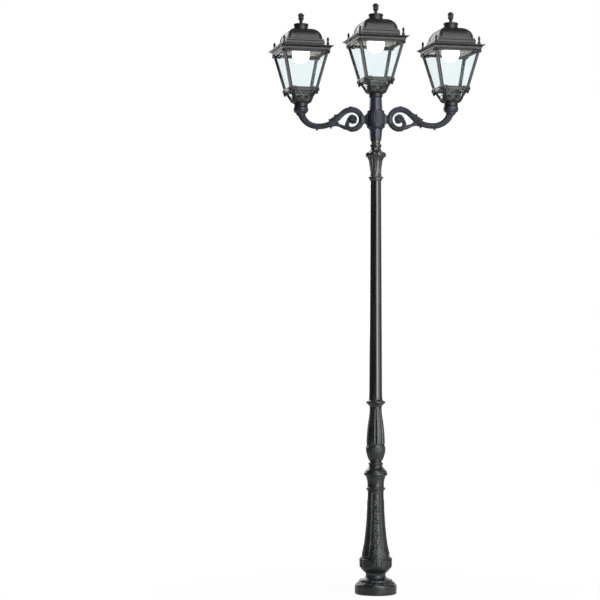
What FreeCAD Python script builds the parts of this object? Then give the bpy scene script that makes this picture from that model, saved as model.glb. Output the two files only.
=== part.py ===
"""A triple head lamp post: a turned and panelled column, two scrolled arms and three square lanterns.

The post stands on Z = 0 with its axis on Z. The arms lie along X and the lanterns face -Y.
Each lantern is drawn once, from its collar upwards, and stands three times on the post.
Lengths are in millimetres and angles in degrees.
"""
import FreeCAD, Part
import math
import os
import Sketcher

SIZES = {
    # Where the lanterns stand and how they are turned on their spigots.
    "arm_reach": 420,
    "lantern_yaw": 16,
    # Steel core inside the column, and the square foot plate that it is welded to.
    "core_radius": 21.2,
    "core_wall": 3.2,
    "core_gap": 0.3,
    "plate_side": 140,
    "plate_thickness": 10,
    "cable_way_radius": 16,
    "anchor_circle": 150,
    "anchor_hole_radius": 7,
    # Plinth: a heavy round shoe with a bevelled top, a leaf band and a hollow neck.
    "plinth_radius": 116,
    "plinth_edge": 6,
    "plinth_wall_height": 48,
    "plinth_shelf_radius": 106,
    "plinth_shelf_height": 59,
    "leaf_band_radius": 86,
    "leaf_band_foot": 69,
    "leaf_band_top": 78,
    "plinth_neck_radius": 55.5,
    "plinth_neck_height": 104,
    "plinth_height": 118,
    "plinth_inner_radius": 104,
    "plinth_inner_height": 38,
    # Column: a drum that flares up into a long panelled shaft with a ring at its top.
    "column_height": 488,
    "column_foot_radius": 57,
    "drum_radius": 86,
    "drum_foot": 30,
    "drum_top": 72,
    "shelf_radius": 82,
    "flare_radius": 68,
    "flare_height": 142,
    "shaft_radius": 51.6,
    "shaft_height": 276,
    "shaft_top_radius": 46,
    "column_ring_radius": 52.6,
    "column_ring_foot": 464,
    "column_ring_height": 12,
    "column_top_radius": 45.5,
    "column_wall": 12,
    "pilaster_proud": 2.5,
    # Knop: the widest bulge between column and vase, with a bead above it.
    "knop_height": 139,
    "knop_foot_radius": 44,
    "knop_foot_height": 6,
    "knop_lip_radius": 53,
    "knop_lip_height": 43,
    "knop_radius": 65,
    "knop_middle": 57,
    "knop_band": 12,
    "knop_shoulder_radius": 45,
    "knop_shoulder_height": 91,
    "knop_waist_radius": 38,
    "knop_waist_height": 105,
    "knop_bead_radius": 40.5,
    "knop_bead_height": 117,
    "knop_bead_edge": 4,
    "knop_neck_radius": 33.4,
    "knop_neck_height": 125,
    # Vase: a leaf cup that carries a fluted bulb, a neck and a top ring.
    "vase_height": 340,
    "vase_foot_radius": 39,
    "cup_radius": 53,
    "cup_height": 66,
    "cup_rim": 12,
    "bulb_foot_radius": 45.5,
    "bulb_foot_height": 72,
    "bulb_radius": 50.5,
    "bulb_height": 98,
    "flute_depth": 3,
    "vase_neck_radius": 33.4,
    "vase_neck_foot": 261,
    "vase_neck_top": 291,
    "vase_ring_radius": 53,
    "vase_ring_height": 318,
    "vase_ring_edge": 4,
    # Tapered tube.
    "tube_height": 1215,
    "tube_foot_radius": 36.5,
    "tube_top_radius": 31,
    "tube_wall": 4,
    # Capital: a disc, a fluted bell under a torus, and a ringed neck.
    "capital_height": 224,
    "disc_foot_radius": 37,
    "disc_foot_height": 13,
    "disc_radius": 45,
    "disc_height": 17,
    "disc_edge": 2,
    "bell_foot_radius": 30.8,
    "bell_foot": 45,
    "bell_radius": 38,
    "bell_height": 113,
    "bell_flute_depth": 2,
    "torus_foot_radius": 52.5,
    "torus_foot_height": 139,
    "torus_radius": 58.5,
    "torus_height": 147,
    "torus_top_radius": 50.5,
    "torus_top_height": 156,
    "capital_neck_radius": 27.3,
    "capital_neck_height": 171,
    "neck_ring_radius": 33,
    "neck_ring_height": 198,
    "neck_ring_edge": 5,
    "neck_ring_root": 10,
    # Hub: a tapered sleeve, a ring, a reeded drum and an upper sleeve that ends in a spigot.
    "hub_height": 244,
    "sleeve_foot_radius": 28,
    "sleeve_radius": 34,
    "sleeve_height": 54,
    "hub_ring_radius": 52,
    "hub_ring_height": 79,
    "hub_ring_edge": 3,
    "hub_drum_radius": 48.5,
    "hub_drum_foot": 85,
    "hub_drum_top": 168,
    "hub_room_radius": 38,
    "hub_room_foot": 93,
    "hub_room_top": 154,
    "upper_sleeve_radius": 34,
    "upper_sleeve_foot": 172,
    "sleeve_top_radius": 32,
    "hub_core_depth": 60,
    "hub_way_radius": 24,
    # Arms: a scrolled band that springs from the hub, dips and turns up into a socket.
    "arm_height": 121,
    "arm_scroll_centre": 134.4,
    "arm_scroll_radius": 55.2,
    "arm_shoulder_radius": 75,
    "arm_dip_radius": 140,
    "arm_dip": 37.5,
    "arm_elbow_radius": 95,
    "arm_socket_rise": 70,
    "arm_band": 31,
    "arm_band_width": 27,
    "arm_elbow_band": 46,
    "volute_radius": 26,
    "volute_band": 22,
    "rosette_radius": 24,
    "rosette_width": 30,
    "rosette_set": 7,
    "rosette_boss_radius": 9.6,
    "rosette_boss_width": 38,
    "arm_pad_height": 66,
    "arm_pad_width": 34,
    "arm_bolt_radius": 6,
    "arm_bolt_length": 40,
    "arm_bolt_head": 8,
    "arm_bolt_head_radius": 10,
    "band_bevel": 7,
    "branch_width": 14,
    "branch_root_set": 4,
    "branch_root_lift": 2,
    "branch_root_back": 12,
    "branch_root_rise": 14,
    "branch_tip_drop": 6,
    "branch_tip_back": 8,
    "branch_tip_rise": 14,
    "socket_lip": 6,
    "socket_radius": 42.4,
    "socket_foot_radius": 24,
    "socket_height": 45,
    "socket_depth": 30,
    "socket_gap": 0.3,
    # Spigots that the lanterns turn on, and the play of a collar on one.
    "spigot_radius": 30,
    "spigot_wall": 3,
    "spigot_play": 0.08,
    "lantern_lift": 0.5,
    # Lantern collar and the cage of four curved legs above it.
    "collar_radius": 38.6,
    "collar_height": 20.5,
    "collar_edge": 2,
    "set_screw_radius": 3,
    "set_screw_height": 10,
    "set_screw_gap": 0.3,
    "set_screw_proud": 2,
    "cage_height": 63,
    "cage_foot_half": 43,
    "cage_heel_half": 54.5,
    "cage_heel_height": 6.5,
    "cage_waist_half": 60,
    "cage_waist_height": 32,
    "cage_wall": 9,
    "cage_floor": 3,
    "cage_arch_radius": 51.4,
    "cage_arch_height": 69.4,
    "knob_radius": 8.5,
    "knob_foot_radius": 4.25,
    "knob_height": 15,
    "knob_set": 3,
    "cup_wall": 2.7,
    "cup_step_height": 18,
    "cup_radius_above": 39,
    "cup_gap": 0.3,
    "cup_cap": 3,
    # Lantern frame: a square frame that widens upwards, with four windows.
    "frame_foot_half": 77.5,
    "frame_top_half": 134.5,
    "frame_height": 235,
    "frame_wall": 8,
    "foot_rail": 22.5,
    "foot_rail_slope": 4,
    "top_rail": 23,
    "rail_proud": 3.5,
    "post_width": 18,
    "rebate_half": 130,
    "rebate_depth": 3,
    # Clear diffuser that hangs in the frame and shows below it.
    "diffuser_drop": 21,
    "diffuser_foot_half": 50,
    "diffuser_waist_half": 63,
    "diffuser_wall": 2.5,
    "diffuser_gap": 0.5,
    # Seal between frame and roof.
    "seal_thickness": 2,
    "seal_outer_half": 136,
    "seal_inner_half": 127,
    # Roof: a wide thin brim, a moulded skirt and a vaulted dome with raised hips.
    "brim_half": 153.5,
    "brim_height": 11,
    "brim_edge": 6.5,
    "brim_flat_half": 139,
    "skirt_foot_half": 113.5,
    "skirt_lip": 4,
    "skirt_bulge_half": 108.5,
    "skirt_bulge_height": 20,
    "skirt_top_half": 106.5,
    "skirt_height": 40,
    "dome_half": 98,
    "dome_height": 64,
    "dome_top_half": 42,
    "roof_wall": 4,
    "roof_mouth_half": 121.5,
    "hip_width": 22,
    "hip_proud": 2.5,
    # Chimney cap and finial.
    "chimney_radius": 40.2,
    "chimney_lip_radius": 41.8,
    "chimney_neck_height": 23.8,
    "chimney_height": 36.5,
    "chimney_edge": 3,
    "finial_height": 60.5,
    "finial_foot_radius": 12.75,
    "finial_waist_radius": 9,
    "finial_ring_radius": 10.3,
    "tulip_radius": 15.8,
    "tulip_rim_radius": 19.75,
    "bud_radius": 12,
    "bud_shoulder_radius": 9.6,
    "bud_tip_radius": 3.6,
    # Pinnacles on the corners of the brim.
    "pinnacle_reach": 124.5,
    "pinnacle_radius": 9,
    "pinnacle_neck_radius": 5,
    "pinnacle_bulb_radius": 7,
    "pinnacle_tip_radius": 1.25,
    "pinnacle_height": 50,
    # Lamp: reflector tray, opal bowl, light module and driver.
    "reflector_half": 124,
    "reflector_thickness": 1.5,
    "reflector_lip_half": 118.5,
    "reflector_lip": 9,
    "reflector_step_radius": 58.5,
    "reflector_step": 2,
    "bowl_radius": 50,
    "bowl_depth": 69,
    "bowl_wall": 2.5,
    "module_radius": 38,
    "module_thickness": 8,
    "driver_length": 100,
    "driver_width": 50,
    "driver_height": 30,
    # Hinge behind the brim.
    "hinge_offset": 5.5,
    "hinge_drop": 5.2,
    "hinge_barrel_radius": 4.5,
    "hinge_pin_radius": 2.5,
    "hinge_play": 0.05,
    "hinge_middle": 40,
    "hinge_end": 14,
    "hinge_gap": 0.5,
}

SHEET = "Sizes"
RIGHT_ANGLE = 90
QUARTER = (math.sqrt(2) - 1) / 2   # roundness of a quarter circle
DOME_CURVE = 0.188
CAGE_CORNERS = (1.05, 1.1, 1.23, 1.4)   # how much further out its corners lie, from the foot up
CUT_PAST = 5                       # how far a cutting form runs past what it cuts
SUNK = 1                           # how far a joined form reaches into the one that it stands on
PETALS = 6
PANELS = 4
PILASTER_SHARE = 0.38              # how much of its turn each pilaster takes
FLUTES = 8
RIB_SHARE = 0.62                   # how much of its turn a rib takes between two flutes
ROUND_SIDES = 16
BOWL_CROWN = 0.2                   # how much of the bowl's radius its flat crown takes
BOWL_TURNS = [math.radians(turn) for turn in (36, 54, 72, 90)]
FINIAL_LEVELS = (0, 0.08, 0.17, 0.22, 0.25, 0.52, 0.8, 0.82, 0.94, 1)
PINNACLE_LEVELS = (0, 0.34, 0.4, 0.58, 0.66, 0.8, 0.9, 1)
LANTERNS = {"left": -1, "centre": 0, "right": 1}
CORNERS = ((1, 1), (-1, 1), (-1, -1), (1, -1))

Vector = FreeCAD.Vector
Rotation = FreeCAD.Rotation
FACING_FRONT = Rotation(Vector(1, 0, 0), RIGHT_ANGLE)
FACING_SIDE = Rotation(Vector(0, 0, 1), RIGHT_ANGLE) * FACING_FRONT

document = FreeCAD.newDocument("triple_head_lamp_post")
nodes = []


class Size:
    """A length that knows its number and the formula that gives it from the sheet."""

    def __init__(self, number, formula):
        self.number = float(number)
        self.formula = formula

    def join(self, other, sign, number):
        return Size(number, f"({self.formula} {sign} {as_size(other).formula})")

    def __add__(self, other):
        return self.join(other, "+", self.number + as_size(other).number)

    def __sub__(self, other):
        return self.join(other, "-", self.number - as_size(other).number)

    def __mul__(self, other):
        return self.join(other, "*", self.number * as_size(other).number)

    def __truediv__(self, other):
        return self.join(other, "/", self.number / as_size(other).number)

    def __radd__(self, other):
        return as_size(other) + self

    def __rsub__(self, other):
        return as_size(other) - self

    def __rmul__(self, other):
        return as_size(other) * self

    def __neg__(self):
        return 0 - self

    def root(self):
        return Size(math.sqrt(self.number), f"sqrt({self.formula})")


def as_size(thing):
    """Turn a plain number into a size."""
    return thing if isinstance(thing, Size) else Size(thing, f"({float(thing)})")


class Sizes:
    """The driving sizes, each read by its name."""

    def __init__(self, table):
        self.sheet = document.addObject("Spreadsheet::Sheet", SHEET)
        for row, (name, number) in enumerate(table.items(), start=1):
            self.sheet.set(f"A{row}", name)
            self.sheet.set(f"B{row}", str(number))
            self.sheet.setAlias(f"B{row}", name)
        document.recompute()

    def __getattr__(self, name):
        return Size(self.sheet.get(name), f"{SHEET}.{name}")


size = Sizes(SIZES)


def bind(thing, **values):
    """Tie the named properties of an object to sizes."""
    for name, value in values.items():
        thing.setExpression(name, as_size(value).formula)
    return thing


def place(thing, across=0, along=0, up=0):
    """Tie where an object stands to sizes."""
    for axis, value in zip("xyz", (across, along, up)):
        thing.setExpression(f".Placement.Base.{axis}", as_size(value).formula)
    return thing


# Outlines

class Corner:
    """A corner of an outline. The edge that arrives at it is straight or an arc.

    Roundness is the rise of the arc over its chord. It is positive where the arc bulges
    to the right of the way it is drawn, which is outwards on a side drawn upwards.
    """

    def __init__(self, across, up, roundness=0.0):
        self.across = as_size(across)
        self.up = as_size(up)
        self.roundness = roundness

    def mirrored(self, roundness):
        return Corner(-self.across, self.up, roundness)


def corners(*points):
    return [Corner(*point) for point in points]


def chord(start, end):
    run = end.across - start.across
    rise = end.up - start.up
    return (run * run + rise * rise).root()


def arc_radius(start, end):
    share = abs(end.roundness)
    return chord(start, end) * ((1 + 4 * share * share) / (8 * share))


def arc_edge(start, end):
    """The arc from one corner to the next, always drawn anticlockwise."""
    a = Vector(start.across.number, start.up.number, 0)
    b = Vector(end.across.number, end.up.number, 0)
    radius = arc_radius(start, end).number
    along = (b - a).normalize()
    outward = Vector(along.y, -along.x, 0) * math.copysign(1, end.roundness)
    rise = abs(end.roundness) * (b - a).Length
    centre = (a + b) * 0.5 + outward * (rise - radius)
    first, last = (a, b) if end.roundness > 0 else (b, a)
    opening = math.atan2(first.y - centre.y, first.x - centre.x)
    closing = math.atan2(last.y - centre.y, last.x - centre.x)
    if closing < opening:
        closing += 2 * math.pi
    return Part.ArcOfCircle(Part.Circle(centre, Vector(0, 0, 1), radius), opening, closing)


def with_straight_edges(points):
    """The same outline with each arc drawn as two straight edges that meet on its middle."""
    drawn = []
    for i, corner in enumerate(points):
        bend = corner.roundness
        if bend:
            before = points[i - 1]
            across = (before.across + corner.across) / 2 + (corner.up - before.up) * bend
            up = (before.up + corner.up) / 2 - (corner.across - before.across) * bend
            drawn.append(Corner(across, up))
        drawn.append(Corner(corner.across, corner.up))
    return drawn


class Outline:
    """Draws corners into a sketch and ties each of them to the sheet."""

    def __init__(self, sketch):
        self.sketch = sketch
        self.starts = []
        self.ends = []

    def add_edges(self, points, closed):
        count = len(points) if closed else len(points) - 1
        for i in range(count):
            start = points[i]
            end = points[(i + 1) % len(points)]
            if end.roundness:
                self.sketch.addGeometry(arc_edge(start, end), False)
                forward = end.roundness > 0
            else:
                a = Vector(start.across.number, start.up.number, 0)
                b = Vector(end.across.number, end.up.number, 0)
                self.sketch.addGeometry(Part.LineSegment(a, b), False)
                forward = True
            self.starts.append((i, 1 if forward else 2))
            self.ends.append((i, 2 if forward else 1))
        for i in range(count if closed else count - 1):
            after = self.starts[(i + 1) % count]
            self.sketch.addConstraint(Sketcher.Constraint("Coincident", *self.ends[i], *after))

    def pin(self, spot, corner):
        """Tie a corner to its distances from the two axes."""
        for kind, axis, value in (("DistanceX", -2, corner.across), ("DistanceY", -1, corner.up)):
            if value.number == 0:
                self.sketch.addConstraint(Sketcher.Constraint("PointOnObject", *spot, axis))
            else:
                datum = Sketcher.Constraint(kind, -1, 1, *spot, value.number)
                self.tie(self.sketch.addConstraint(datum), value)

    def tie(self, index, value):
        self.sketch.setExpression(f"Constraints[{index}]", value.formula)

    def tie_radius(self, edge, start, end):
        if end.roundness:
            radius = arc_radius(start, end)
            datum = Sketcher.Constraint("Radius", edge, radius.number)
            self.tie(self.sketch.addConstraint(datum), radius)

    def draw(self, points, closed=True):
        self.add_edges(points, closed)
        for i, spot in enumerate(self.starts):
            self.pin(spot, points[i])
            self.tie_radius(i, points[i], points[(i + 1) % len(points)])
        if not closed:
            self.pin(self.ends[-1], points[-1])

    def draw_both_sides(self, right):
        """Draw the right side upwards and its mirror image downwards, as one closed outline."""
        bends = [corner.roundness for corner in right[1:]]
        left = [corner.mirrored(bend) for corner, bend in zip(right, bends + [0.0])]
        points = right + left[::-1]
        self.add_edges(points, closed=True)
        for i, corner in enumerate(right):
            self.pin(self.starts[i], corner)
            twin = len(points) - 1 - i
            symmetry = Sketcher.Constraint("Symmetric", *self.starts[i], *self.starts[twin], -2)
            self.sketch.addConstraint(symmetry)
        for i in range(len(right) - 1):
            self.tie_radius(i, right[i], right[i + 1])
            if right[i + 1].roundness:
                twin = len(points) - 2 - i
                self.sketch.addConstraint(Sketcher.Constraint("Equal", i, twin))


# Ways of making a piece

def turned(name, points):
    """A body turned about Z from the outline of its right half."""
    body = document.addObject("PartDesign::Body", name)
    sketch = body_sketch(body, name + "_half", "XZ_Plane")
    Outline(sketch).draw(with_straight_edges(points))
    turning = body.newObject("PartDesign::Revolution", name + "_turning")
    turning.Profile = sketch
    turning.ReferenceAxis = (sketch, ["V_Axis"])
    turning.Angle = 360
    return body


def body_sketch(body, name, plane):
    """A sketch on one of a body's own planes."""
    sketch = body.newObject("Sketcher::SketchObject", name)
    face = [item for item in body.Origin.OriginFeatures if item.Role == plane][0]
    sketch.AttachmentSupport = (face, "")
    sketch.MapMode = "FlatFace"
    return sketch


def run_through(name, points, length, turn=FACING_FRONT):
    """A side outline, drawn on its right half, run straight through on both sides of the middle."""
    sketch = document.addObject("Sketcher::SketchObject", name + "_side")
    sketch.Placement = FreeCAD.Placement(Vector(), turn)
    Outline(sketch).draw_both_sides(points)
    run = document.addObject("Part::Extrusion", name)
    run.Base = sketch
    run.DirMode = "Normal"
    run.Symmetric = True
    run.Solid = True
    return bind(run, LengthFwd=length)


def faceted(name, points, sides, curved=False):
    """A form of regular section: one side outline run through at even turns, where all the runs meet."""
    widest = max(points, key=lambda corner: corner.across.number).across
    side = points if curved else with_straight_edges(points)
    run = run_through(name + "_run", side, widest * 2 + CUT_PAST)
    form = run
    ways = sides // 2
    for i in range(1, ways):
        again = linked(f"{name}_run_{i}", run, turn=Rotation(Vector(0, 0, 1), 360 / sides * i))
        form = meet(name if i == ways - 1 else f"{name}_met_{i}", form, again)
    return form


def square_form(name, points, curved=False):
    return faceted(name, points, 4, curved)


def ribs_of(name, form, count, share, start, reach):
    """What a form has within upright wedges at even turns round its axis.

    Each wedge takes a share of its turn, and the first stands a part of a turn past the back.
    """
    spread = math.tan(math.pi / count * share)
    wedge = run_through(name + "_wedge", corners((core_bore * spread, core_bore), (reach * spread, reach)),
                        size.tube_height, Rotation())
    turns = [Rotation(Vector(0, 0, 1), 360 / count * (i + start)) for i in range(count)]
    wedges = [linked(f"{name}_wedge_{i + 1}", wedge, turn=turn) for i, turn in enumerate(turns)]
    return meet(name, form, join(name + "_wedges", *wedges))


def both_ways(name, points, length):
    """The same outline run through front to back and side to side, as one cutting form."""
    front = run_through(name + "_front", points, length)
    side = run_through(name + "_across", points, length, FACING_SIDE)
    return join(name, front, side)


def meet(name, first, second):
    shared = document.addObject("Part::Common", name)
    shared.Base = first
    shared.Tool = second
    return shared


def join(name, *pieces):
    whole = document.addObject("Part::MultiFuse", name)
    whole.Shapes = list(pieces)
    whole.Refine = True
    return whole


def cut(name, base, tool):
    rest = document.addObject("Part::Cut", name)
    rest.Base = base
    rest.Tool = tool
    rest.Refine = True
    return rest


def box(name, half_across, half_along, foot, height, across=0, along=0):
    """A box with its middle at across and along."""
    block = document.addObject("Part::Box", name)
    bind(block, Length=as_size(half_across) * 2, Width=as_size(half_along) * 2, Height=height)
    return place(block, across - as_size(half_across), along - as_size(half_along), foot)


def cylinder(name, radius, length, across=0, along=0, up=0, direction=None):
    """A cylinder that stands up, or points along a direction."""
    rod = document.addObject("Part::Cylinder", name)
    if direction:
        rod.Placement = FreeCAD.Placement(Vector(), Rotation(Vector(0, 0, 1), Vector(*direction)))
    bind(rod, Radius=radius, Height=length)
    return place(rod, across, along, up)


def prism(name, radius, length, across, along, up, sides=8):
    """An upright prism with a regular outline."""
    block = document.addObject("Part::Prism", name)
    block.Polygon = sides
    bind(block, Circumradius=radius, Height=length)
    return place(block, across, along, up)


def group(name, pieces):
    """Separate solids that share a node."""
    together = document.addObject("Part::Compound", name)
    together.Links = list(pieces)
    return together


def linked(name, thing, across=0, along=0, up=0, turn=None):
    """The same thing again in another place."""
    again = document.addObject("App::Link", name)
    again.LinkedObject = thing
    again.LinkTransform = True
    if turn:
        again.Placement = FreeCAD.Placement(Vector(), turn)
    return place(again, across, along, up)


def node(thing, name=None):
    """Mark a finished object as a piece of the lamp post."""
    thing.Label = name or thing.Label
    nodes.append(thing)
    return thing


# Column

def column_levels():
    """The foot of each piece of the column, from the floor up."""
    levels = {"plinth": as_size(0)}
    order = ["plinth", "column", "knop", "vase", "tube", "capital", "hub"]
    for below, above in zip(order, order[1:]):
        levels[above] = levels[below] + getattr(size, below + "_height")
    levels["top"] = levels["hub"] + size.hub_height
    return levels


level = column_levels()
core_bore = size.core_radius + size.core_gap
spigot_top = size.collar_height + size.cage_height - size.diffuser_drop - size.cup_cap


def foot_plate():
    """The welded square foot plate, with its anchor holes and the cable way."""
    half = size.plate_side / 2
    slab = box("foot_slab", half, half, 0, size.plate_thickness)
    way = cylinder("plate_way", size.cable_way_radius, size.plate_thickness + CUT_PAST * 2, up=-CUT_PAST)
    reach = size.anchor_circle / 2 * math.sqrt(0.5)
    holes = [way]
    for number, (side, front) in enumerate(CORNERS, start=1):
        hole = cylinder(f"anchor_hole_{number}", size.anchor_hole_radius,
                        size.plate_thickness + CUT_PAST * 2, reach * side, reach * front, -CUT_PAST)
        holes.append(hole)
    node(cut("foot_plate", slab, group("plate_holes", holes)))


def core_tube():
    """The steel tube that stands on the foot plate and carries every casting above it."""
    inner = size.core_radius - size.core_wall
    length = level["hub"] + size.hub_core_depth - size.plate_thickness
    points = corners((inner, 0), (size.core_radius, 0), (size.core_radius, length), (inner, length))
    node(place(turned("core_tube", points), up=size.plate_thickness))


def plinth():
    edge = size.plinth_edge
    node(turned("plinth", corners(
        (size.plinth_inner_radius, 0),
        (size.plinth_radius - edge, 0),
        (size.plinth_radius, edge),
        (size.plinth_radius, size.plinth_wall_height - edge),
        (size.plinth_shelf_radius, size.plinth_shelf_height),
        (size.leaf_band_radius, size.leaf_band_foot),
        (size.leaf_band_radius, size.leaf_band_top),
        (size.plinth_neck_radius, size.plinth_neck_height, -0.2),
        (size.column_foot_radius, size.plinth_height),
        (core_bore, size.plinth_height),
        (core_bore, size.plinth_inner_height),
        (size.plinth_inner_radius, size.plinth_inner_height),
    )))


def column():
    """The drum and the flared shaft: long panels between four broad pilasters, under a ring."""
    proud = size.pilaster_proud
    top, ring = size.column_ring_foot, size.column_ring_foot + size.column_ring_height
    shell = faceted("column_shell", corners(
        (size.column_foot_radius, 0),
        (size.drum_radius, size.drum_foot, 0.12),
        (size.drum_radius, size.drum_top),
        (size.shelf_radius, size.drum_top),
        (size.flare_radius, size.flare_height, -0.03),
        (size.shaft_radius, size.shaft_height, -0.04),
        (size.shaft_top_radius, top, -0.01),
        (size.column_ring_radius, top),
        (size.column_ring_radius, ring),
        (size.column_top_radius, ring),
        (size.column_top_radius, size.column_height),
    ), ROUND_SIDES)
    skin = faceted("pilaster_skin", corners(
        (size.shelf_radius + proud, size.drum_top),
        (size.flare_radius + proud, size.flare_height, -0.03),
        (size.shaft_radius + proud, size.shaft_height, -0.04),
        (size.shaft_top_radius + proud, top, -0.01),
    ), ROUND_SIDES)
    pilasters = ribs_of("pilasters", skin, PANELS, PILASTER_SHARE, 0.5, size.drum_radius * 2)
    whole = join("column_solid", shell, pilasters)
    room = cylinder("column_room", size.shaft_top_radius - size.column_wall, top + CUT_PAST, up=-CUT_PAST)
    way = cylinder("column_way", core_bore, size.column_height * 2)
    column = cut("column", whole, join("column_hollow", room, way))
    node(linked("base_column", column, up=level["column"]))


def knop():
    form = faceted("knop_form", corners(
        (size.column_top_radius, 0),
        (size.knop_foot_radius, size.knop_foot_height),
        (size.knop_lip_radius, size.knop_lip_height, -0.1),
        (size.knop_radius, size.knop_middle),
        (size.knop_radius, size.knop_middle + size.knop_band, 0.15),
        (size.knop_shoulder_radius, size.knop_shoulder_height, 0.1),
        (size.knop_waist_radius, size.knop_waist_height),
        (size.knop_bead_radius, size.knop_bead_height - size.knop_bead_edge),
        (size.knop_bead_radius, size.knop_bead_height + size.knop_bead_edge),
        (size.knop_neck_radius, size.knop_neck_height),
        (size.vase_foot_radius, size.knop_height),
    ), ROUND_SIDES)
    way = cylinder("knop_way", core_bore, size.knop_height * 2, up=-CUT_PAST)
    node(place(cut("knop", form, way), up=level["knop"]))


def vase_side(sunk):
    """Side outline of the vase, with its bulb sunk a little between the cup and the neck."""
    return corners(
        (size.vase_foot_radius, 0),
        (size.cup_radius, size.cup_height - size.cup_rim, 0.12),
        (size.cup_radius, size.cup_height),
        (size.bulb_foot_radius - sunk, size.bulb_foot_height),
        (size.bulb_radius - sunk, size.bulb_height, 0.05),
        (size.vase_neck_radius, size.vase_neck_foot, 0.05),
        (size.vase_neck_radius, size.vase_neck_top),
        (size.vase_ring_radius, size.vase_ring_height - size.vase_ring_edge, -0.15),
        (size.vase_ring_radius, size.vase_ring_height + size.vase_ring_edge),
        (size.tube_foot_radius, size.vase_height, -0.15),
    )


def vase():
    """The leaf cup and the bulb, whose ribs stand between broad flutes."""
    core = faceted("vase_core", vase_side(size.flute_depth), ROUND_SIDES)
    skin = faceted("vase_skin", vase_side(0), ROUND_SIDES)
    ribs = ribs_of("vase_ribs", skin, FLUTES, RIB_SHARE, 0.5, size.bulb_radius * 2)
    way = cylinder("vase_way", core_bore, size.vase_height * 2, up=-CUT_PAST)
    node(place(cut("vase", join("vase_form", core, ribs), way), up=level["vase"]))


def tapered_tube():
    bore = size.tube_top_radius - size.tube_wall
    node(place(turned("tapered_tube", corners(
        (bore, 0),
        (size.tube_foot_radius, 0),
        (size.tube_top_radius, size.tube_height),
        (bore, size.tube_height),
    )), up=level["tube"]))


def capital_side(sunk):
    """Side outline of the capital, with its bell sunk a little between the disc and the torus."""
    ring = size.neck_ring_height
    return corners(
        (size.tube_top_radius, 0),
        (size.disc_foot_radius, size.disc_foot_height),
        (size.disc_radius, size.disc_height - size.disc_edge),
        (size.disc_radius, size.disc_height + size.disc_edge),
        (size.bell_foot_radius, size.bell_foot, -0.2),
        (size.bell_radius - sunk, size.bell_height, -0.05),
        (size.torus_foot_radius, size.torus_foot_height, -0.15),
        (size.torus_radius, size.torus_height, 0.1),
        (size.torus_top_radius, size.torus_top_height, 0.15),
        (size.capital_neck_radius, size.capital_neck_height, -0.1),
        (size.capital_neck_radius, ring - size.neck_ring_root),
        (size.neck_ring_radius, ring - size.neck_ring_edge),
        (size.neck_ring_radius, ring + size.neck_ring_edge),
        (size.capital_neck_radius, ring + size.neck_ring_root),
        (size.sleeve_foot_radius, size.capital_height),
    )


def capital():
    """The ringed capital, whose bell has ribs between broad flutes."""
    core = faceted("capital_core", capital_side(size.bell_flute_depth), ROUND_SIDES)
    skin = faceted("capital_skin", capital_side(0), ROUND_SIDES)
    ribs = ribs_of("capital_ribs", skin, FLUTES, RIB_SHARE, 0, size.torus_radius * 2)
    way = cylinder("capital_way", core_bore, size.capital_height * 2, up=-CUT_PAST)
    node(place(cut("capital", join("capital_form", core, ribs), way), up=level["capital"]))


def hub():
    """The hub casting: two faceted sleeves, a drum between them and the middle spigot."""
    top = size.hub_height
    outside = faceted("hub_outside", corners(
        (size.sleeve_foot_radius, 0),
        (size.sleeve_radius, size.sleeve_height),
        (size.hub_ring_radius, size.hub_ring_height - size.hub_ring_edge, -0.15),
        (size.hub_ring_radius, size.hub_ring_height + size.hub_ring_edge),
        (size.hub_drum_radius, size.hub_drum_foot),
        (size.hub_drum_radius, size.hub_drum_top),
        (size.upper_sleeve_radius, size.upper_sleeve_foot),
        (size.sleeve_top_radius, top),
    ), ROUND_SIDES)
    room_foot = size.hub_room_foot
    room_top = size.hub_room_top
    spigot = cylinder("hub_spigot", size.spigot_radius, spigot_top + size.lantern_lift + SUNK, up=top - SUNK)
    form = join("hub_form", outside, spigot)
    cuts = [
        cylinder("hub_socket", core_bore, size.hub_core_depth + CUT_PAST, up=-CUT_PAST),
        cylinder("hub_cable_way", size.core_radius - size.core_wall, room_foot),
        cylinder("hub_room", size.hub_room_radius, room_top - room_foot, up=room_foot),
        cylinder("hub_upper_way", size.hub_way_radius, top, up=room_top),
    ]
    hole = size.arm_bolt_radius + size.core_gap
    cuts += [bolt_way(f"hub_bolt_hole_{side}", hole, side) for side in ("left", "right")]
    node(place(cut("hub", form, join("hub_cuts", *cuts)), up=level["hub"]))


# Arms

def bolt_way(name, radius, side):
    """A rod from the drum's room out through the drum and an arm's pad."""
    way_out = LANTERNS[side]
    seat = bolt_seat()
    return cylinder(name, radius, size.arm_bolt_length, seat * way_out, 0, size.arm_height, (way_out, 0, 0))


def bolt_seat():
    """How far out a bolt's head lies: its corners just meet the round wall of the room."""
    room = size.hub_room_radius
    head = size.arm_bolt_head_radius
    return (room * room - head * head).root()


def section(body, name, plane, across, along, at):
    """A band's section, with broad bevels, centred on a corner of the band's path."""
    sketch = body_sketch(body, name, plane)
    half = as_size(across) / 2
    rise = as_size(along)
    bevel = size.band_bevel
    Outline(sketch).draw_both_sides(corners(
        (half - bevel, 0), (half, bevel), (half, rise - bevel), (half - bevel, rise)))
    across_at, up_at = at.across, at.up
    if plane == "XY_Plane":
        offsets = (across_at, -rise / 2, up_at)
    else:
        offsets = (as_size(0), up_at - rise / 2, across_at)
    for axis, value in zip("xyz", offsets):
        sketch.setExpression(f".AttachmentOffset.Base.{axis}", value.formula)
    start = Vector(*[value.number for value in offsets])
    sketch.AttachmentOffset = FreeCAD.Placement(start, Rotation())
    return sketch


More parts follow.
